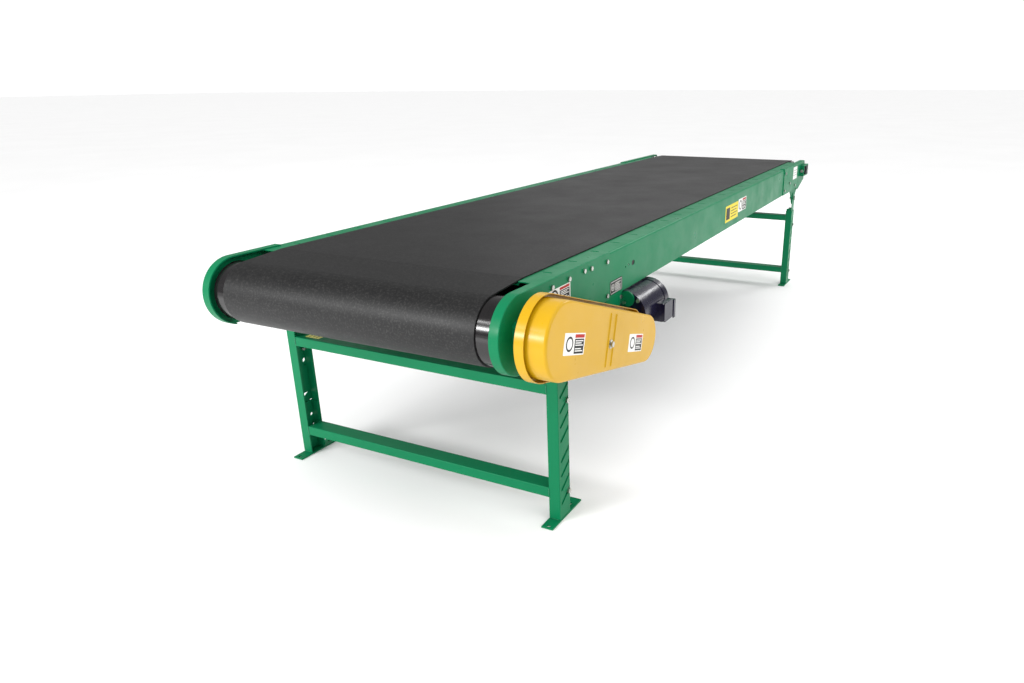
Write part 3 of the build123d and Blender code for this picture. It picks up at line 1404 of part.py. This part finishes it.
def clamp_bolt(x, s, z):
    """Bolt through the leg's diagonal slot and the inner channel's upright slot, with its nut."""
    with BuildPart() as bolt:
        with BuildSketch(side(s * LEG_OUT)):
            with Locations((x + CLAMP_DX, z)):
                RegularPolygon(8.5, 6)
        extrude(amount=-s * 7)
        with BuildSketch(side(s * LEG_OUT)):
            with Locations((x + CLAMP_DX, z)):
                Circle(CLAMP_R)
        extrude(amount=s * 20)
        with BuildSketch(side(s * (NEST_OUT - LEG_T - 0.1))):
            with Locations((x + CLAMP_DX, z)):
                RegularPolygon(7.8, 6)
        extrude(amount=s * 8)
    return bolt.part


BRACE_END = LEG_OUT - LEG_D
BRACE_H = 33.0
BRACE_ZS = (424.0, 80.0)


def brace(x, z0, front, rear):
    """Channel across the two legs, its flat side up."""
    with BuildPart() as body:
        with BuildSketch(side(-BRACE_END)):
            with Locations((x + (front + rear) / 2, z0)):
                Rectangle(front - rear, BRACE_H, align=(Align.CENTER, Align.MIN))
                Rectangle(
                    front - rear - 2 * LEG_T,
                    BRACE_H - LEG_T,
                    align=(Align.CENTER, Align.MIN),
                    mode=Mode.SUBTRACT,
                )
        extrude(amount=-2 * BRACE_END)
        fillet(body.edges().filter_by(Axis.Y).group_by(Axis.Z)[-1], 3)
    return body.part


for name, x in zip(("front", "rear"), SUPPORT_XS):
    half = LEG_W / 2
    group([leg(x, s) for _, s in SIDES], f"{name}_legs")
    group([brace(x, z, half, -half + 9) for z in BRACE_ZS], f"{name}_braces")
    group([upper_leg(x, s) for _, s in SIDES], f"{name}_upper_legs")
    group([clamp_bolt(x, s, z) for _, s in SIDES for z in CLAMP_ZS], f"{name}_clamp_bolts")
    for side_name, s in SIDES:
        save(foot(x, s), f"{name}_foot_{side_name}")

# ---- nameplate, riveted to the rail ----
NAME_W, NAME_H = 95.0, 45.0
NAME_X, NAME_Z = 1185.0, 654.5
with BuildPart() as nameplate:
    with BuildSketch(side(HALF)):
        with Locations((NAME_X, NAME_Z)):
            RectangleRounded(NAME_W, NAME_H, 3)
            with GridLocations(NAME_W - 8, NAME_H - 8, 2, 2):
                Circle(1.6, mode=Mode.SUBTRACT)
    extrude(amount=-0.8)
save(nameplate.part, "nameplate")
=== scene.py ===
import json
import math

import bmesh
import bpy
from mathutils import Matrix, Vector


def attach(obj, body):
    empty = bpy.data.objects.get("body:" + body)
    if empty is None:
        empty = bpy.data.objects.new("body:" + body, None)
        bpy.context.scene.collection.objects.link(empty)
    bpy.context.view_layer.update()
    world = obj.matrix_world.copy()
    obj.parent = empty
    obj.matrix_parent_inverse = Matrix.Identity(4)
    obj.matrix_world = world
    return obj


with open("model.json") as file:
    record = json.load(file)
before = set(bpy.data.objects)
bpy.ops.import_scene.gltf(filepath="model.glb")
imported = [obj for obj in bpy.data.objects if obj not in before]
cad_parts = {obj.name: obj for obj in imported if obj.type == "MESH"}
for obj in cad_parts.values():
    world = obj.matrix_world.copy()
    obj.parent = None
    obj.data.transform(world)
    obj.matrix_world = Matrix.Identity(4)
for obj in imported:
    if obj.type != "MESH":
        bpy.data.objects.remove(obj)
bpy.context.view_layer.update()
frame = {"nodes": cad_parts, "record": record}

# Slider-bed belt conveyor section. Metres, in the CAD frame: +X to the head end, +Y drive side.
MM = 0.001
NODES = frame["nodes"]


# ---------------------------------------------------------------- materials
def srgb(r, g, b):
    """Linear colour from 0-255 screen values."""
    def lin(v):
        v /= 255
        return v / 12.92 if v <= 0.04045 else ((v + 0.055) / 1.055) ** 2.4
    return (lin(r), lin(g), lin(b), 1.0)


class Shade:
    """Small builder around one node material; everything is in object space."""

    def __init__(self, name):
        self.mat = bpy.data.materials.new(name)
        self.mat.use_nodes = True
        self.tree = self.mat.node_tree
        self.tree.nodes.clear()
        self.out = self.node("ShaderNodeOutputMaterial")
        self.bsdf = self.node("ShaderNodeBsdfPrincipled")
        self.link(self.bsdf.outputs["BSDF"], self.out.inputs["Surface"])
        self.coords = self.node("ShaderNodeTexCoord").outputs["Object"]

    def node(self, kind, **values):
        made = self.tree.nodes.new(kind)
        for key, value in values.items():
            setattr(made, key, value)
        return made

    def link(self, a, b):
        self.tree.links.new(a, b)

    def stretched(self, scale):
        mapping = self.node("ShaderNodeMapping")
        mapping.inputs["Scale"].default_value = scale
        self.link(self.coords, mapping.inputs["Vector"])
        return mapping.outputs["Vector"]

    def noise(self, scale, detail=3.0, rough=0.55, vector=None):
        made = self.node("ShaderNodeTexNoise")
        made.inputs["Scale"].default_value = scale
        made.inputs["Detail"].default_value = detail
        made.inputs["Roughness"].default_value = rough
        self.link(vector or self.coords, made.inputs["Vector"])
        return made.outputs["Fac"]

    def remap(self, value, lo, hi, to_lo, to_hi):
        made = self.node("ShaderNodeMapRange")
        for key, number in zip(("From Min", "From Max", "To Min", "To Max"), (lo, hi, to_lo, to_hi)):
            made.inputs[key].default_value = number
        self.link(value, made.inputs["Value"])
        return made.outputs["Result"]

    def mix(self, factor, a, b):
        """Mix two colours, each a tuple or a socket."""
        made = self.node("ShaderNodeMix", data_type="RGBA")
        self.link(factor, made.inputs[0])
        for socket, value in ((made.inputs[6], a), (made.inputs[7], b)):
            if isinstance(value, tuple):
                socket.default_value = value
            else:
                self.link(value, socket)
        return made.outputs[2]

    def bump(self, height, strength, distance, under=None):
        made = self.node("ShaderNodeBump")
        made.inputs["Strength"].default_value = strength
        made.inputs["Distance"].default_value = distance
        self.link(height, made.inputs["Height"])
        if under is not None:
            self.link(under, made.inputs["Normal"])
        return made.outputs["Normal"]

    def set(self, **values):
        for key, value in values.items():
            self.bsdf.inputs[key.replace("_", " ")].default_value = value

    def use(self, colour=None, roughness=None, normal=None):
        if colour is not None:
            self.link(colour, self.bsdf.inputs["Base Color"])
        if roughness is not None:
            self.link(roughness, self.bsdf.inputs["Roughness"])
        if normal is not None:
            self.link(normal, self.bsdf.inputs["Normal"])
        return self.mat


def tint(colour, factor):
    return tuple(min(1.0, c * factor) for c in colour[:3]) + (1.0,)


def enamel(name, colour, gloss=0.34, coat=0.25, scuff=0.35, peel=0.25, shine=0.3):
    """Sprayed enamel: faint shade drift, orange-peel skin, dull handling marks and a few dusty specks."""
    s = Shade(name)
    drift = s.remap(s.noise(3.0, 4), 0.3, 0.7, 0.0, 1.0)
    base = s.mix(drift, tint(colour, 0.93), tint(colour, 1.06))
    marks = s.remap(s.noise(26.0, 8, 0.7), 0.60, 0.78, 0.0, scuff)
    base = s.mix(marks, base, tint(colour, 0.74))
    specks = s.remap(s.noise(240.0, 2), 0.70, 0.78, 0.0, 0.3)
    base = s.mix(specks, base, tint(colour, 1.35))
    rough = s.remap(s.noise(9.0, 6, 0.6), 0.3, 0.75, gloss - 0.05, gloss + 0.14)
    skin = s.bump(s.noise(420.0, 2), peel, 0.0002)
    normal = s.bump(s.noise(5.0, 2), 0.18, 0.0025, skin)
    s.set(Coat_Weight=coat, Coat_Roughness=0.18, Specular_IOR_Level=shine)
    return s.use(base, rough, normal)


def metal(name, colour, gloss=0.32, grain=(1, 1, 1), metallic=1.0):
    """Bare or plated metal with a directional grain and duller patches."""
    s = Shade(name)
    grain_noise = s.noise(300.0, 3, 0.6, s.stretched(grain))
    base = s.mix(s.remap(s.noise(18.0, 6), 0.35, 0.75, 0, 1), tint(colour, 1.05), tint(colour, 0.72))
    rough = s.remap(grain_noise, 0.25, 0.75, gloss - 0.08, gloss + 0.16)
    s.set(Metallic=metallic)
    return s.use(base, rough, s.bump(grain_noise, 0.15, 0.0002))


def belt_material():
    """Smooth charcoal belt cover: fine speckle of grit, faint dusty patches and a pebbled skin."""
    s = Shade("belt_cover")
    patches = s.noise(4.0, 6, 0.6)
    base = s.mix(s.remap(patches, 0.35, 0.7, 0, 1), srgb(22, 22, 23), srgb(30, 30, 30))
    grit = s.noise(170.0, 3, 0.75)
    base = s.mix(s.remap(grit, 0.50, 0.70, 0, 0.6), base, srgb(66, 65, 64))
    base = s.mix(s.remap(s.noise(260.0, 3), 0.60, 0.74, 0, 0.6), base, srgb(16, 16, 17))
    normal = s.bump(s.noise(2.2, 3), 0.2, 0.003, s.bump(grit, 0.3, 0.0005))
    rough = s.remap(patches, 0.3, 0.7, 0.44, 0.54)
    s.set(Specular_IOR_Level=0.30)
    return s.use(base, rough, normal)


def smooth_rubber(name, colour, gloss):
    s = Shade(name)
    cloud = s.noise(12.0, 6)
    base = s.mix(s.remap(cloud, 0.35, 0.7, 0, 1), tint(colour, 0.8), tint(colour, 1.5))
    rough = s.remap(s.noise(30.0, 5, 0.6, s.stretched((1, 0.1, 1))), 0.3, 0.7, gloss - 0.05, gloss + 0.12)
    s.set(Specular_IOR_Level=0.55)
    return s.use(base, rough, s.bump(s.noise(120.0, 3), 0.2, 0.0003))


def printed(name, colour, gloss=0.38):
    """Printed vinyl: a flat ink with faint mottling."""
    s = Shade(name)
    base = s.mix(s.remap(s.noise(60.0, 5), 0.35, 0.7, 0, 1), tint(colour, 0.92), tint(colour, 1.04))
    rough = s.remap(s.noise(20.0, 4), 0.3, 0.7, gloss - 0.06, gloss + 0.1)
    s.set(Specular_IOR_Level=0.15)
    return s.use(base, rough, s.bump(s.noise(300.0, 2), 0.08, 0.0001))


GREEN = enamel("green_enamel", srgb(8, 118, 76), 0.32, 0.0, shine=0.14)
YELLOW = enamel("yellow_enamel", srgb(198, 154, 12), 0.30, 0.08, scuff=0.2)
NAVY = enamel("navy_enamel", srgb(18, 16, 40), 0.20, 0.1, scuff=0.4)
CASTING = enamel("casting_paint", srgb(38, 40, 42), 0.5, 0.0, peel=0.9)
BELT = belt_material()
LAGGING = smooth_rubber("lagging_rubber", srgb(20, 18, 19), 0.10)
FAN_PLASTIC = smooth_rubber("fan_plastic", srgb(30, 30, 33), 0.42)
STEEL = metal("machined_steel", srgb(168, 168, 166), 0.30, (1, 8, 1))
ZINC = metal("zinc_plate", srgb(196, 196, 190), 0.28)
CHAIN_STEEL = metal("oiled_steel", srgb(120, 116, 108), 0.26)
BRONZE = metal("gear_bronze", srgb(190, 140, 66), 0.30)
PLATE_BLACK = printed("nameplate_black", srgb(24, 25, 26), 0.34)
SILVER = metal("nameplate_silver", srgb(188, 190, 192), 0.34)
WELD = metal("painted_weld", srgb(26, 120, 84), 0.45, metallic=0.0)
INK = {
    "white": printed("label_white", srgb(232, 232, 228)),
    "red": printed("label_red", srgb(176, 38, 34)),
    "black": printed("label_black", srgb(34, 33, 34)),
    "yellow": printed("label_yellow", srgb(226, 206, 40)),
    "grey": printed("label_grey", srgb(150, 152, 152)),
    "pale": printed("label_pale_yellow", srgb(240, 232, 130)),
}

FINISH = {
    "green_frame": GREEN,
    "yellow_guard": YELLOW,
    "motor_paint": NAVY,
    "belt_rubber": BELT,
    "lagging_rubber": LAGGING,
    "steel": STEEL,
    "zinc": ZINC,
    "cast": CASTING,
    "bronze": BRONZE,
    "plate": PLATE_BLACK,
    "fan_plastic": FAN_PLASTIC,
}
for part in frame["record"]["subparts"]:
    own = NODES[part["node"]].data.materials
    own.clear()
    own.append(FINISH[part["material_slot"]])
NODES["roller_chain"].data.materials[0] = CHAIN_STEEL


# ---------------------------------------------------------------- mesh helpers
def piece(name, mesh_builder, materials, body):
    """Make an object from a bmesh function and ride it on a body."""
    bm = bmesh.new()
    mesh_builder(bm)
    bmesh.ops.recalc_face_normals(bm, faces=bm.faces)
    data = bpy.data.meshes.new(name)
    bm.to_mesh(data)
    bm.free()
    made = bpy.data.objects.new(name, data)
    bpy.context.collection.objects.link(made)
    for material in materials:
        data.materials.append(material)
    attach(made, body)
    return made


def slab(bm, place, outline, z0, z1, index=0):
    """Prism of a flat outline between two heights of a local frame."""
    low = [bm.verts.new(place @ Vector((x, y, z0))) for x, y in outline]
    high = [bm.verts.new(place @ Vector((x, y, z1))) for x, y in outline]
    faces = [bm.faces.new(low[::-1]), bm.faces.new(high)]
    count = len(outline)
    for k in range(count):
        n = (k + 1) % count
        faces.append(bm.faces.new((low[k], low[n], high[n], high[k])))
    for face in faces:
        face.material_index = index


def rounded(x0, y0, x1, y1, r, steps=4):
    """Outline of a rectangle with rounded corners."""
    points = []
    left, right, low, high = x0 + r, x1 - r, y0 + r, y1 - r
    for cx, cy, start in ((right, high, 0), (left, high, 90), (left, low, 180), (right, low, 270)):
        for k in range(steps + 1):
            a = math.radians(start + 90 * k / steps)
            points.append((cx + r * math.cos(a), cy + r * math.sin(a)))
    return points


def circle(cx, cy, r, count):
    """Outline of a circle as a polygon."""
    turns = [2 * math.pi * k / count for k in range(count)]
    return [(cx + r * math.cos(a), cy + r * math.sin(a)) for a in turns]


def upright(x, y, z, tilt=0.0):
    """Local frame on a face that looks along +Y: local x is towards -X, local y is up."""
    turn = Matrix(((-1, 0, 0), (0, 0, 1), (0, 1, 0))).to_4x4()
    return Matrix.Translation((x, y, z)) @ turn @ Matrix.Rotation(math.radians(tilt), 4, "Z")


# ---------------------------------------------------------------- labels (blank, generic)
FILM = 0.25 * MM
LIFT = 0.08 * MM


def label(name, place, width, height, blocks, base, body="frame"):
    """Vinyl label: a rounded panel with plain printed blocks (x0, y0, x1, y1 as shares, ink)."""
    inks = [base] + sorted({ink for *_, ink in blocks})
    order = {ink: k for k, ink in enumerate(inks)}

    def build(bm):
        slab(bm, place, rounded(0, 0, width, height, 2 * MM), 0, FILM)
        for x0, y0, x1, y1, ink in blocks:
            outline = rounded(x0 * width, y0 * height, x1 * width, y1 * height, 0.4 * MM, 2)
            slab(bm, place, outline, FILM, FILM + LIFT, order[ink])
    return piece(name, build, [INK[ink] for ink in inks], body)


def bars(x0, x1, rows, ink):
    """Plain bars that stand for lines of print."""
    return [(x0, y, x1 - (0.08 if k % 2 else 0), y + 0.05, ink) for k, y in enumerate(rows)]


NOTICE = (
    [(0.04, 0.06, 0.48, 0.94, "white"), (0.5, 0.78, 0.96, 0.94, "red"), (0.5, 0.06, 0.96, 0.74, "black")]
)
NOTICE_PRINT = bars(0.54, 0.92, (0.62, 0.52, 0.42, 0.26, 0.16), "white")


def notice(name, place, width, height, body="frame"):
    """Two-part notice: an empty white field with a plain mark, and a headed dark field with bars."""
    inks = ["white", "red", "black"]

    def build(bm):
        slab(bm, place, rounded(0, 0, width, height, 2 * MM), 0, FILM)
        for x0, y0, x1, y1, ink in NOTICE[1:]:
            outline = rounded(x0 * width, y0 * height, x1 * width, y1 * height, 0.4 * MM, 2)
            slab(bm, place, outline, FILM, FILM + LIFT, inks.index(ink))
        for x0, y0, x1, y1, ink in NOTICE_PRINT:
            outline = rounded(x0 * width, y0 * height, x1 * width, y1 * height, 0.4 * MM, 2)
            slab(bm, place, outline, FILM + LIFT, FILM + 2 * LIFT, 0)
        cx, cy, r = 0.26 * width, 0.5 * height, 0.17 * width
        outer = circle(cx, cy, r, 24)
        slab(bm, place, outer, FILM, FILM + LIFT, 2)
        inner = [(cx + (x - cx) * 0.72, cy + (y - cy) * 0.72) for x, y in outer]
        slab(bm, place, inner, FILM + LIFT, FILM + 2 * LIFT, 0)
    return piece(name, build, [INK[i] for i in inks], body)


RAIL_Y = 533.4 * MM
PLATE_Y = 537.6 * MM
COVER_Y = 670.0 * MM
HEAD = Vector((1787.5, 0, 670.4)) * MM
OUT = Vector((1240.5, 0, 508.0)) * MM
SLOPE = math.degrees(math.atan2(HEAD.z - OUT.z, HEAD.x - OUT.x))

for name, x, z, width, height in (
    ("guard_label_front", 1809.5, 640, 118, 58),
    ("guard_label_rear", 1399.5, 515, 110, 55),
):
    corner = upright(x * MM, COVER_Y, z * MM, -SLOPE)
    notice(name, corner, width * MM, height * MM, "guard_cover")
notice("plate_label", upright(1641.5 * MM, PLATE_Y, 700 * MM), 128 * MM, 47 * MM)
label(
    "rail_label_yellow",
    upright(-46.5 * MM, RAIL_Y, 655 * MM),
    211 * MM,
    76 * MM,
    [(0.06, 0.14, 0.34, 0.86, "black")] + bars(0.42, 0.94, (0.74, 0.56, 0.38, 0.2), "black"),
    "yellow",
)
notice("rail_label_white", upright(-262.5 * MM, RAIL_Y, 673 * MM), 140 * MM, 63 * MM)
TAIL_PRINT = bars(0.1, 0.9, (0.7, 0.5, 0.3), "grey")
label("tail_label", upright(-1492.5 * MM, PLATE_Y, 690 * MM), 110 * MM, 75 * MM, TAIL_PRINT, "white")

# small sticker on the flat top of the front support's upper brace
BRACE_PLACE = Matrix.Translation((1548 * MM, -470 * MM, 457 * MM))
BRACE_PRINT = [(0.1, 0.15, 0.38, 0.85, "black")] + bars(0.46, 0.9, (0.7, 0.45, 0.2), "black")
label("brace_sticker", BRACE_PLACE, 40 * MM, 62 * MM, BRACE_PRINT, "pale", "front_support")

# silver border, round mark and plain bars on the riveted nameplate
NAME_X, NAME_Z = 1185, 654.5
NAME_W, NAME_H, NAME_T = 95, 45, 0.8
NAME_PLACE = upright((NAME_X + NAME_W / 2) * MM, RAIL_Y + NAME_T * MM, (NAME_Z - NAME_H / 2) * MM)


def nameplate_print(bm):
    w, h, t = NAME_W * MM, NAME_H * MM, 0.12 * MM
    edge, rim = 3 * MM, 1.6 * MM
    for x0, y0, x1, y1 in (
        (edge + 4 * MM, edge, w - edge - 4 * MM, edge + rim),
        (edge + 4 * MM, h - edge - rim, w - edge - 4 * MM, h - edge),
        (edge, edge + 4 * MM, edge + rim, h - edge - 4 * MM),
        (w - edge - rim, edge + 4 * MM, w - edge, h - edge - 4 * MM),
    ):
        slab(bm, NAME_PLACE, rounded(x0, y0, x1, y1, 0.5 * MM, 2), 0, t)
    cx, cy = 21 * MM, h / 2
    for r, z0, z1, ink in ((11, 0, 0.12, 0), (8.6, 0.12, 0.2, 1), (4, 0.2, 0.28, 0)):
        slab(bm, NAME_PLACE, circle(cx, cy, r * MM, 32), z0 * MM, z1 * MM, ink)
    for k, long in enumerate((46, 40, 46, 32, 44)):
        y = (9 + 5.6 * k) * MM
        slab(bm, NAME_PLACE, rounded(38 * MM, y, (38 + long) * MM, y + 2.2 * MM, 0.4 * MM, 2), 0, t)


piece("nameplate_print", nameplate_print, [INK["white"], PLATE_BLACK], "frame")


def dome(bm, centre, axis, radius, height, index=0, rings=3, steps=12):
    """Low rounded head standing on a face."""
    axis = Vector(axis)
    u = axis.orthogonal().normalized()
    v = axis.cross(u)

    def level(r, h):
        points = circle(0, 0, r, steps)
        return [bm.verts.new(centre + axis * h + u * x + v * y) for x, y in points]

    base = level(radius, 0)
    bm.faces.new(base[::-1]).material_index = index
    for ring in range(1, rings + 1):
        turn = math.pi / 2 * ring / (rings + 1)
        upper = level(radius * math.cos(turn), height * math.sin(turn))
        for k in range(steps):
            n = (k + 1) % steps
            bm.faces.new((base[k], base[n], upper[n], upper[k])).material_index = index
        base = upper
    bm.faces.new(base).material_index = index


def nameplate_rivets(bm):
    for dx in (-43.5, 43.5):
        for dz in (-18.5, 18.5):
            spot = Vector(((NAME_X + dx) * MM, RAIL_Y, (NAME_Z + dz) * MM))
            dome(bm, spot, (0, 1, 0), 1.55 * MM, 1.8 * MM)


piece("nameplate_rivets", nameplate_rivets, [SILVER], "frame")


# ---------------------------------------------------------------- weld beads and small fittings
CAP_SPOT = Vector((1044 * MM, RAIL_Y - 2.7 * MM, 702.5 * MM))


def hole_shade_cap(bm):
    """Dark snap-in cap inside the rail behind the unused cable hole; its dark paint is painted shade
    standing in for the shadow seen through the hole.
    """
    place = Matrix.Translation(CAP_SPOT) @ upright(0, 0, 0)
    slab(bm, place, rounded(-16 * MM, -12 * MM, 16 * MM, 12 * MM, 11.5 * MM, 8), -2.2 * MM, -0.1 * MM)
    slab(bm, place, rounded(-12.6 * MM, -8.2 * MM, 12.6 * MM, 8.2 * MM, 8 * MM, 8), -0.1 * MM, 0.9 * MM)


# dark cap behind the cable hole: painted shade in place of the shadow inside the rail
piece("cable_hole_shade_cap", hole_shade_cap, [CASTING], "frame")


def bead(bm, start, end, normal, radius, step=3.2 * MM, side_steps=7):
    """Rippled fillet weld along a line, seen as a half-round sunk against its faces."""
    start, end, normal = Vector(start), Vector(end), Vector(normal).normalized()
    run = end - start
    count = max(3, int(run.length / step))
    along = run.normalized()
    across = along.cross(normal)
    rings = []
    for k in range(2 * count + 1):
        swell = radius * (1.0 if k % 2 else 0.82) * (0.55 if k in (0, 2 * count) else 1.0)
        centre = start + run * (k / (2 * count))
        ring = []
        for j in range(side_steps + 1):
            a = math.pi * j / side_steps
            ring.append(bm.verts.new(centre + across * swell * math.cos(a) + normal * swell * math.sin(a)))
        rings.append(ring)
    for one, two in zip(rings, rings[1:]):
        for j in range(side_steps):
            bm.faces.new((one[j], one[j + 1], two[j + 1], two[j]))
        bm.faces.new((one[-1], one[0], two[0], two[-1]))
    bm.faces.new(rings[0])
    bm.faces.new(rings[-1][::-1])


LEG_IN_Y = (539.2 - 38.0) * MM
for end, x in (("front", 1572.5), ("rear", -1572.5)):
    def brace_welds(bm, x=x):
        for s in (-1, 1):
            for z in (424, 80):
                for dx, turn in ((34.0, 1), (-25.0, -1)):
                    spot = ((x + dx) * MM, s * LEG_IN_Y, (z + 3) * MM)
                    top = (spot[0], spot[1], (z + 30) * MM)
                    bead(bm, spot, top, (turn * 0.7, -s * 0.7, 0), 2.0 * MM)
    piece(f"{end}_brace_welds", brace_welds, [WELD], f"{end}_support")

    for name, s in (("drive", 1), ("idle", -1)):
        def foot_welds(bm, x=x, s=s):
            for turn in (-1, 1):
                edge = x + turn * 30.4
                bead(
                    bm,
                    (edge * MM, s * 508 * MM, 5 * MM),
                    (edge * MM, s * 534 * MM, 5 * MM),
                    (turn * 0.7, 0, 0.7),
                    2.2 * MM,
                )
            start = ((x - 28) * MM, s * 535.8 * MM, 5 * MM)
            stop = ((x + 28) * MM, s * 535.8 * MM, 5 * MM)
            bead(bm, start, stop, (0, s * 0.7, 0.7), 2.0 * MM)
        piece(f"{end}_foot_{name}_weld", foot_welds, [WELD], f"{end}_foot_{name}")


def hanger_welds(bm):
    for x0, x1 in ((1090, 1130), (1150, 1190), (1210, 1250)):
        start, stop = (Vector((x, 524.7, 625)) * MM for x in (x0, x1))
        bead(bm, start, stop, (0, -0.7, -0.7), 2.0 * MM)


piece("hanger_welds", hanger_welds, [WELD], "frame")


def bearing_fittings(bm):
    """Grease nipple on each head bearing."""
    for s in (-1, 1):
        y = s * (PLATE_Y + 20 * MM)
        dome(bm, Vector((HEAD.x, y, HEAD.z + 34 * MM)), (0, 0, 1), 3.4 * MM, 9 * MM)


piece("bearing_fittings", bearing_fittings, [ZINC], "frame")

# ---------------------------------------------------------------- stage, light, camera
def stage_mesh(name, corners, material):
    data = bpy.data.meshes.new(name)
    data.from_pydata(corners, [], [(0, 1, 2, 3)])
    made = bpy.data.objects.new(name, data)
    bpy.context.collection.objects.link(made)
    data.materials.append(material)
    return made


def pale_floor():
    s = Shade("studio_floor")
    base = s.mix(s.remap(s.noise(0.8, 3), 0.3, 0.7, 0, 1), (0.96, 0.96, 0.96, 1), (0.985, 0.985, 0.985, 1))
    return s.use(base, s.remap(s.noise(2.0, 3), 0.3, 0.7, 0.75, 0.85))


REACH = 90.0
FLOOR_Z = -0.0005
CORNERS = ((-1, -1), (1, -1), (1, 1), (-1, 1))
stage_mesh("floor", [(i * REACH, j * REACH, FLOOR_Z) for i, j in CORNERS], pale_floor())

world = bpy.data.worlds.new("studio")
bpy.context.scene.world = world
world.use_nodes = True
world.node_tree.nodes["Background"].inputs["Color"].default_value = (1, 1, 1, 1)
# the white surroundings are dimmed in reflections, so that the paint keeps its colour
backdrop = world.node_tree.nodes["Background"]
path = world.node_tree.nodes.new("ShaderNodeLightPath")
dim = world.node_tree.nodes.new("ShaderNodeMapRange")
dim.inputs["To Min"].default_value = 1.05
dim.inputs["To Max"].default_value = 0.35
world.node_tree.links.new(path.outputs["Is Glossy Ray"], dim.inputs["Value"])
world.node_tree.links.new(dim.outputs["Result"], backdrop.inputs["Strength"])


def area(name, spot, aim, size, watts):
    data = bpy.data.lights.new(name, "AREA")
    data.shape = "RECTANGLE"
    data.size, data.size_y = size
    data.energy = watts
    made = bpy.data.objects.new(name, data)
    made.location = spot
    made.rotation_euler = (Vector(aim) - Vector(spot)).to_track_quat("-Z", "Y").to_euler()
    bpy.context.collection.objects.link(made)


area("key_side", (1.5, 5.5, 4.5), (0.5, 0, 0.6), (5, 3), 90)
area("top", (-0.5, 0.5, 5.5), (-0.3, 0, 0.6), (6, 3), 40)
area("strip_low", (5.8, -2.2, 2.2), (1.78, 0, 0.67), (2.6, 0.5), 170)
area("rim_far", (-6.0, -1.0, 3.6), (0.3, 0, 0.7), (6.5, 1.2), 35)
area("rim_motor", (-4.9, 2.6, 3.7), (1.0, 0.54, 0.55), (1.6, 0.8), 70)
area("strip_high", (5.2, -2.4, 3.7), (1.78, 0, 0.67), (1.6, 0.4), 30)

# camera: yaw, pitch and roll of the viewpoint, its place and its principal point
YAW, PITCH, ROLL = (math.radians(a) for a in (206.462, -19.931, -0.415))
look = Vector((math.cos(PITCH) * math.cos(YAW), math.cos(PITCH) * math.sin(YAW), math.sin(PITCH)))
level = look.cross(Vector((0, 0, 1))).normalized()
lift = level.cross(look)
right = level * math.cos(ROLL) + lift * math.sin(ROLL)
up = lift * math.cos(ROLL) - level * math.sin(ROLL)
camera_data = bpy.data.cameras.new("camera")
camera_data.sensor_width = 36.0
camera_data.lens = 26.203
camera_data.shift_x = -0.0758
camera_data.shift_y = 0.0082
camera_data.clip_end = 100
camera = bpy.data.objects.new("camera", camera_data)
turn = Matrix((right, up, -look)).transposed().to_4x4()
camera.matrix_world = Matrix.Translation((3.34746, 1.51114, 1.29107)) @ turn
bpy.context.collection.objects.link(camera)
bpy.context.scene.camera = camera
bpy.context.scene.view_settings.view_transform = "Standard"
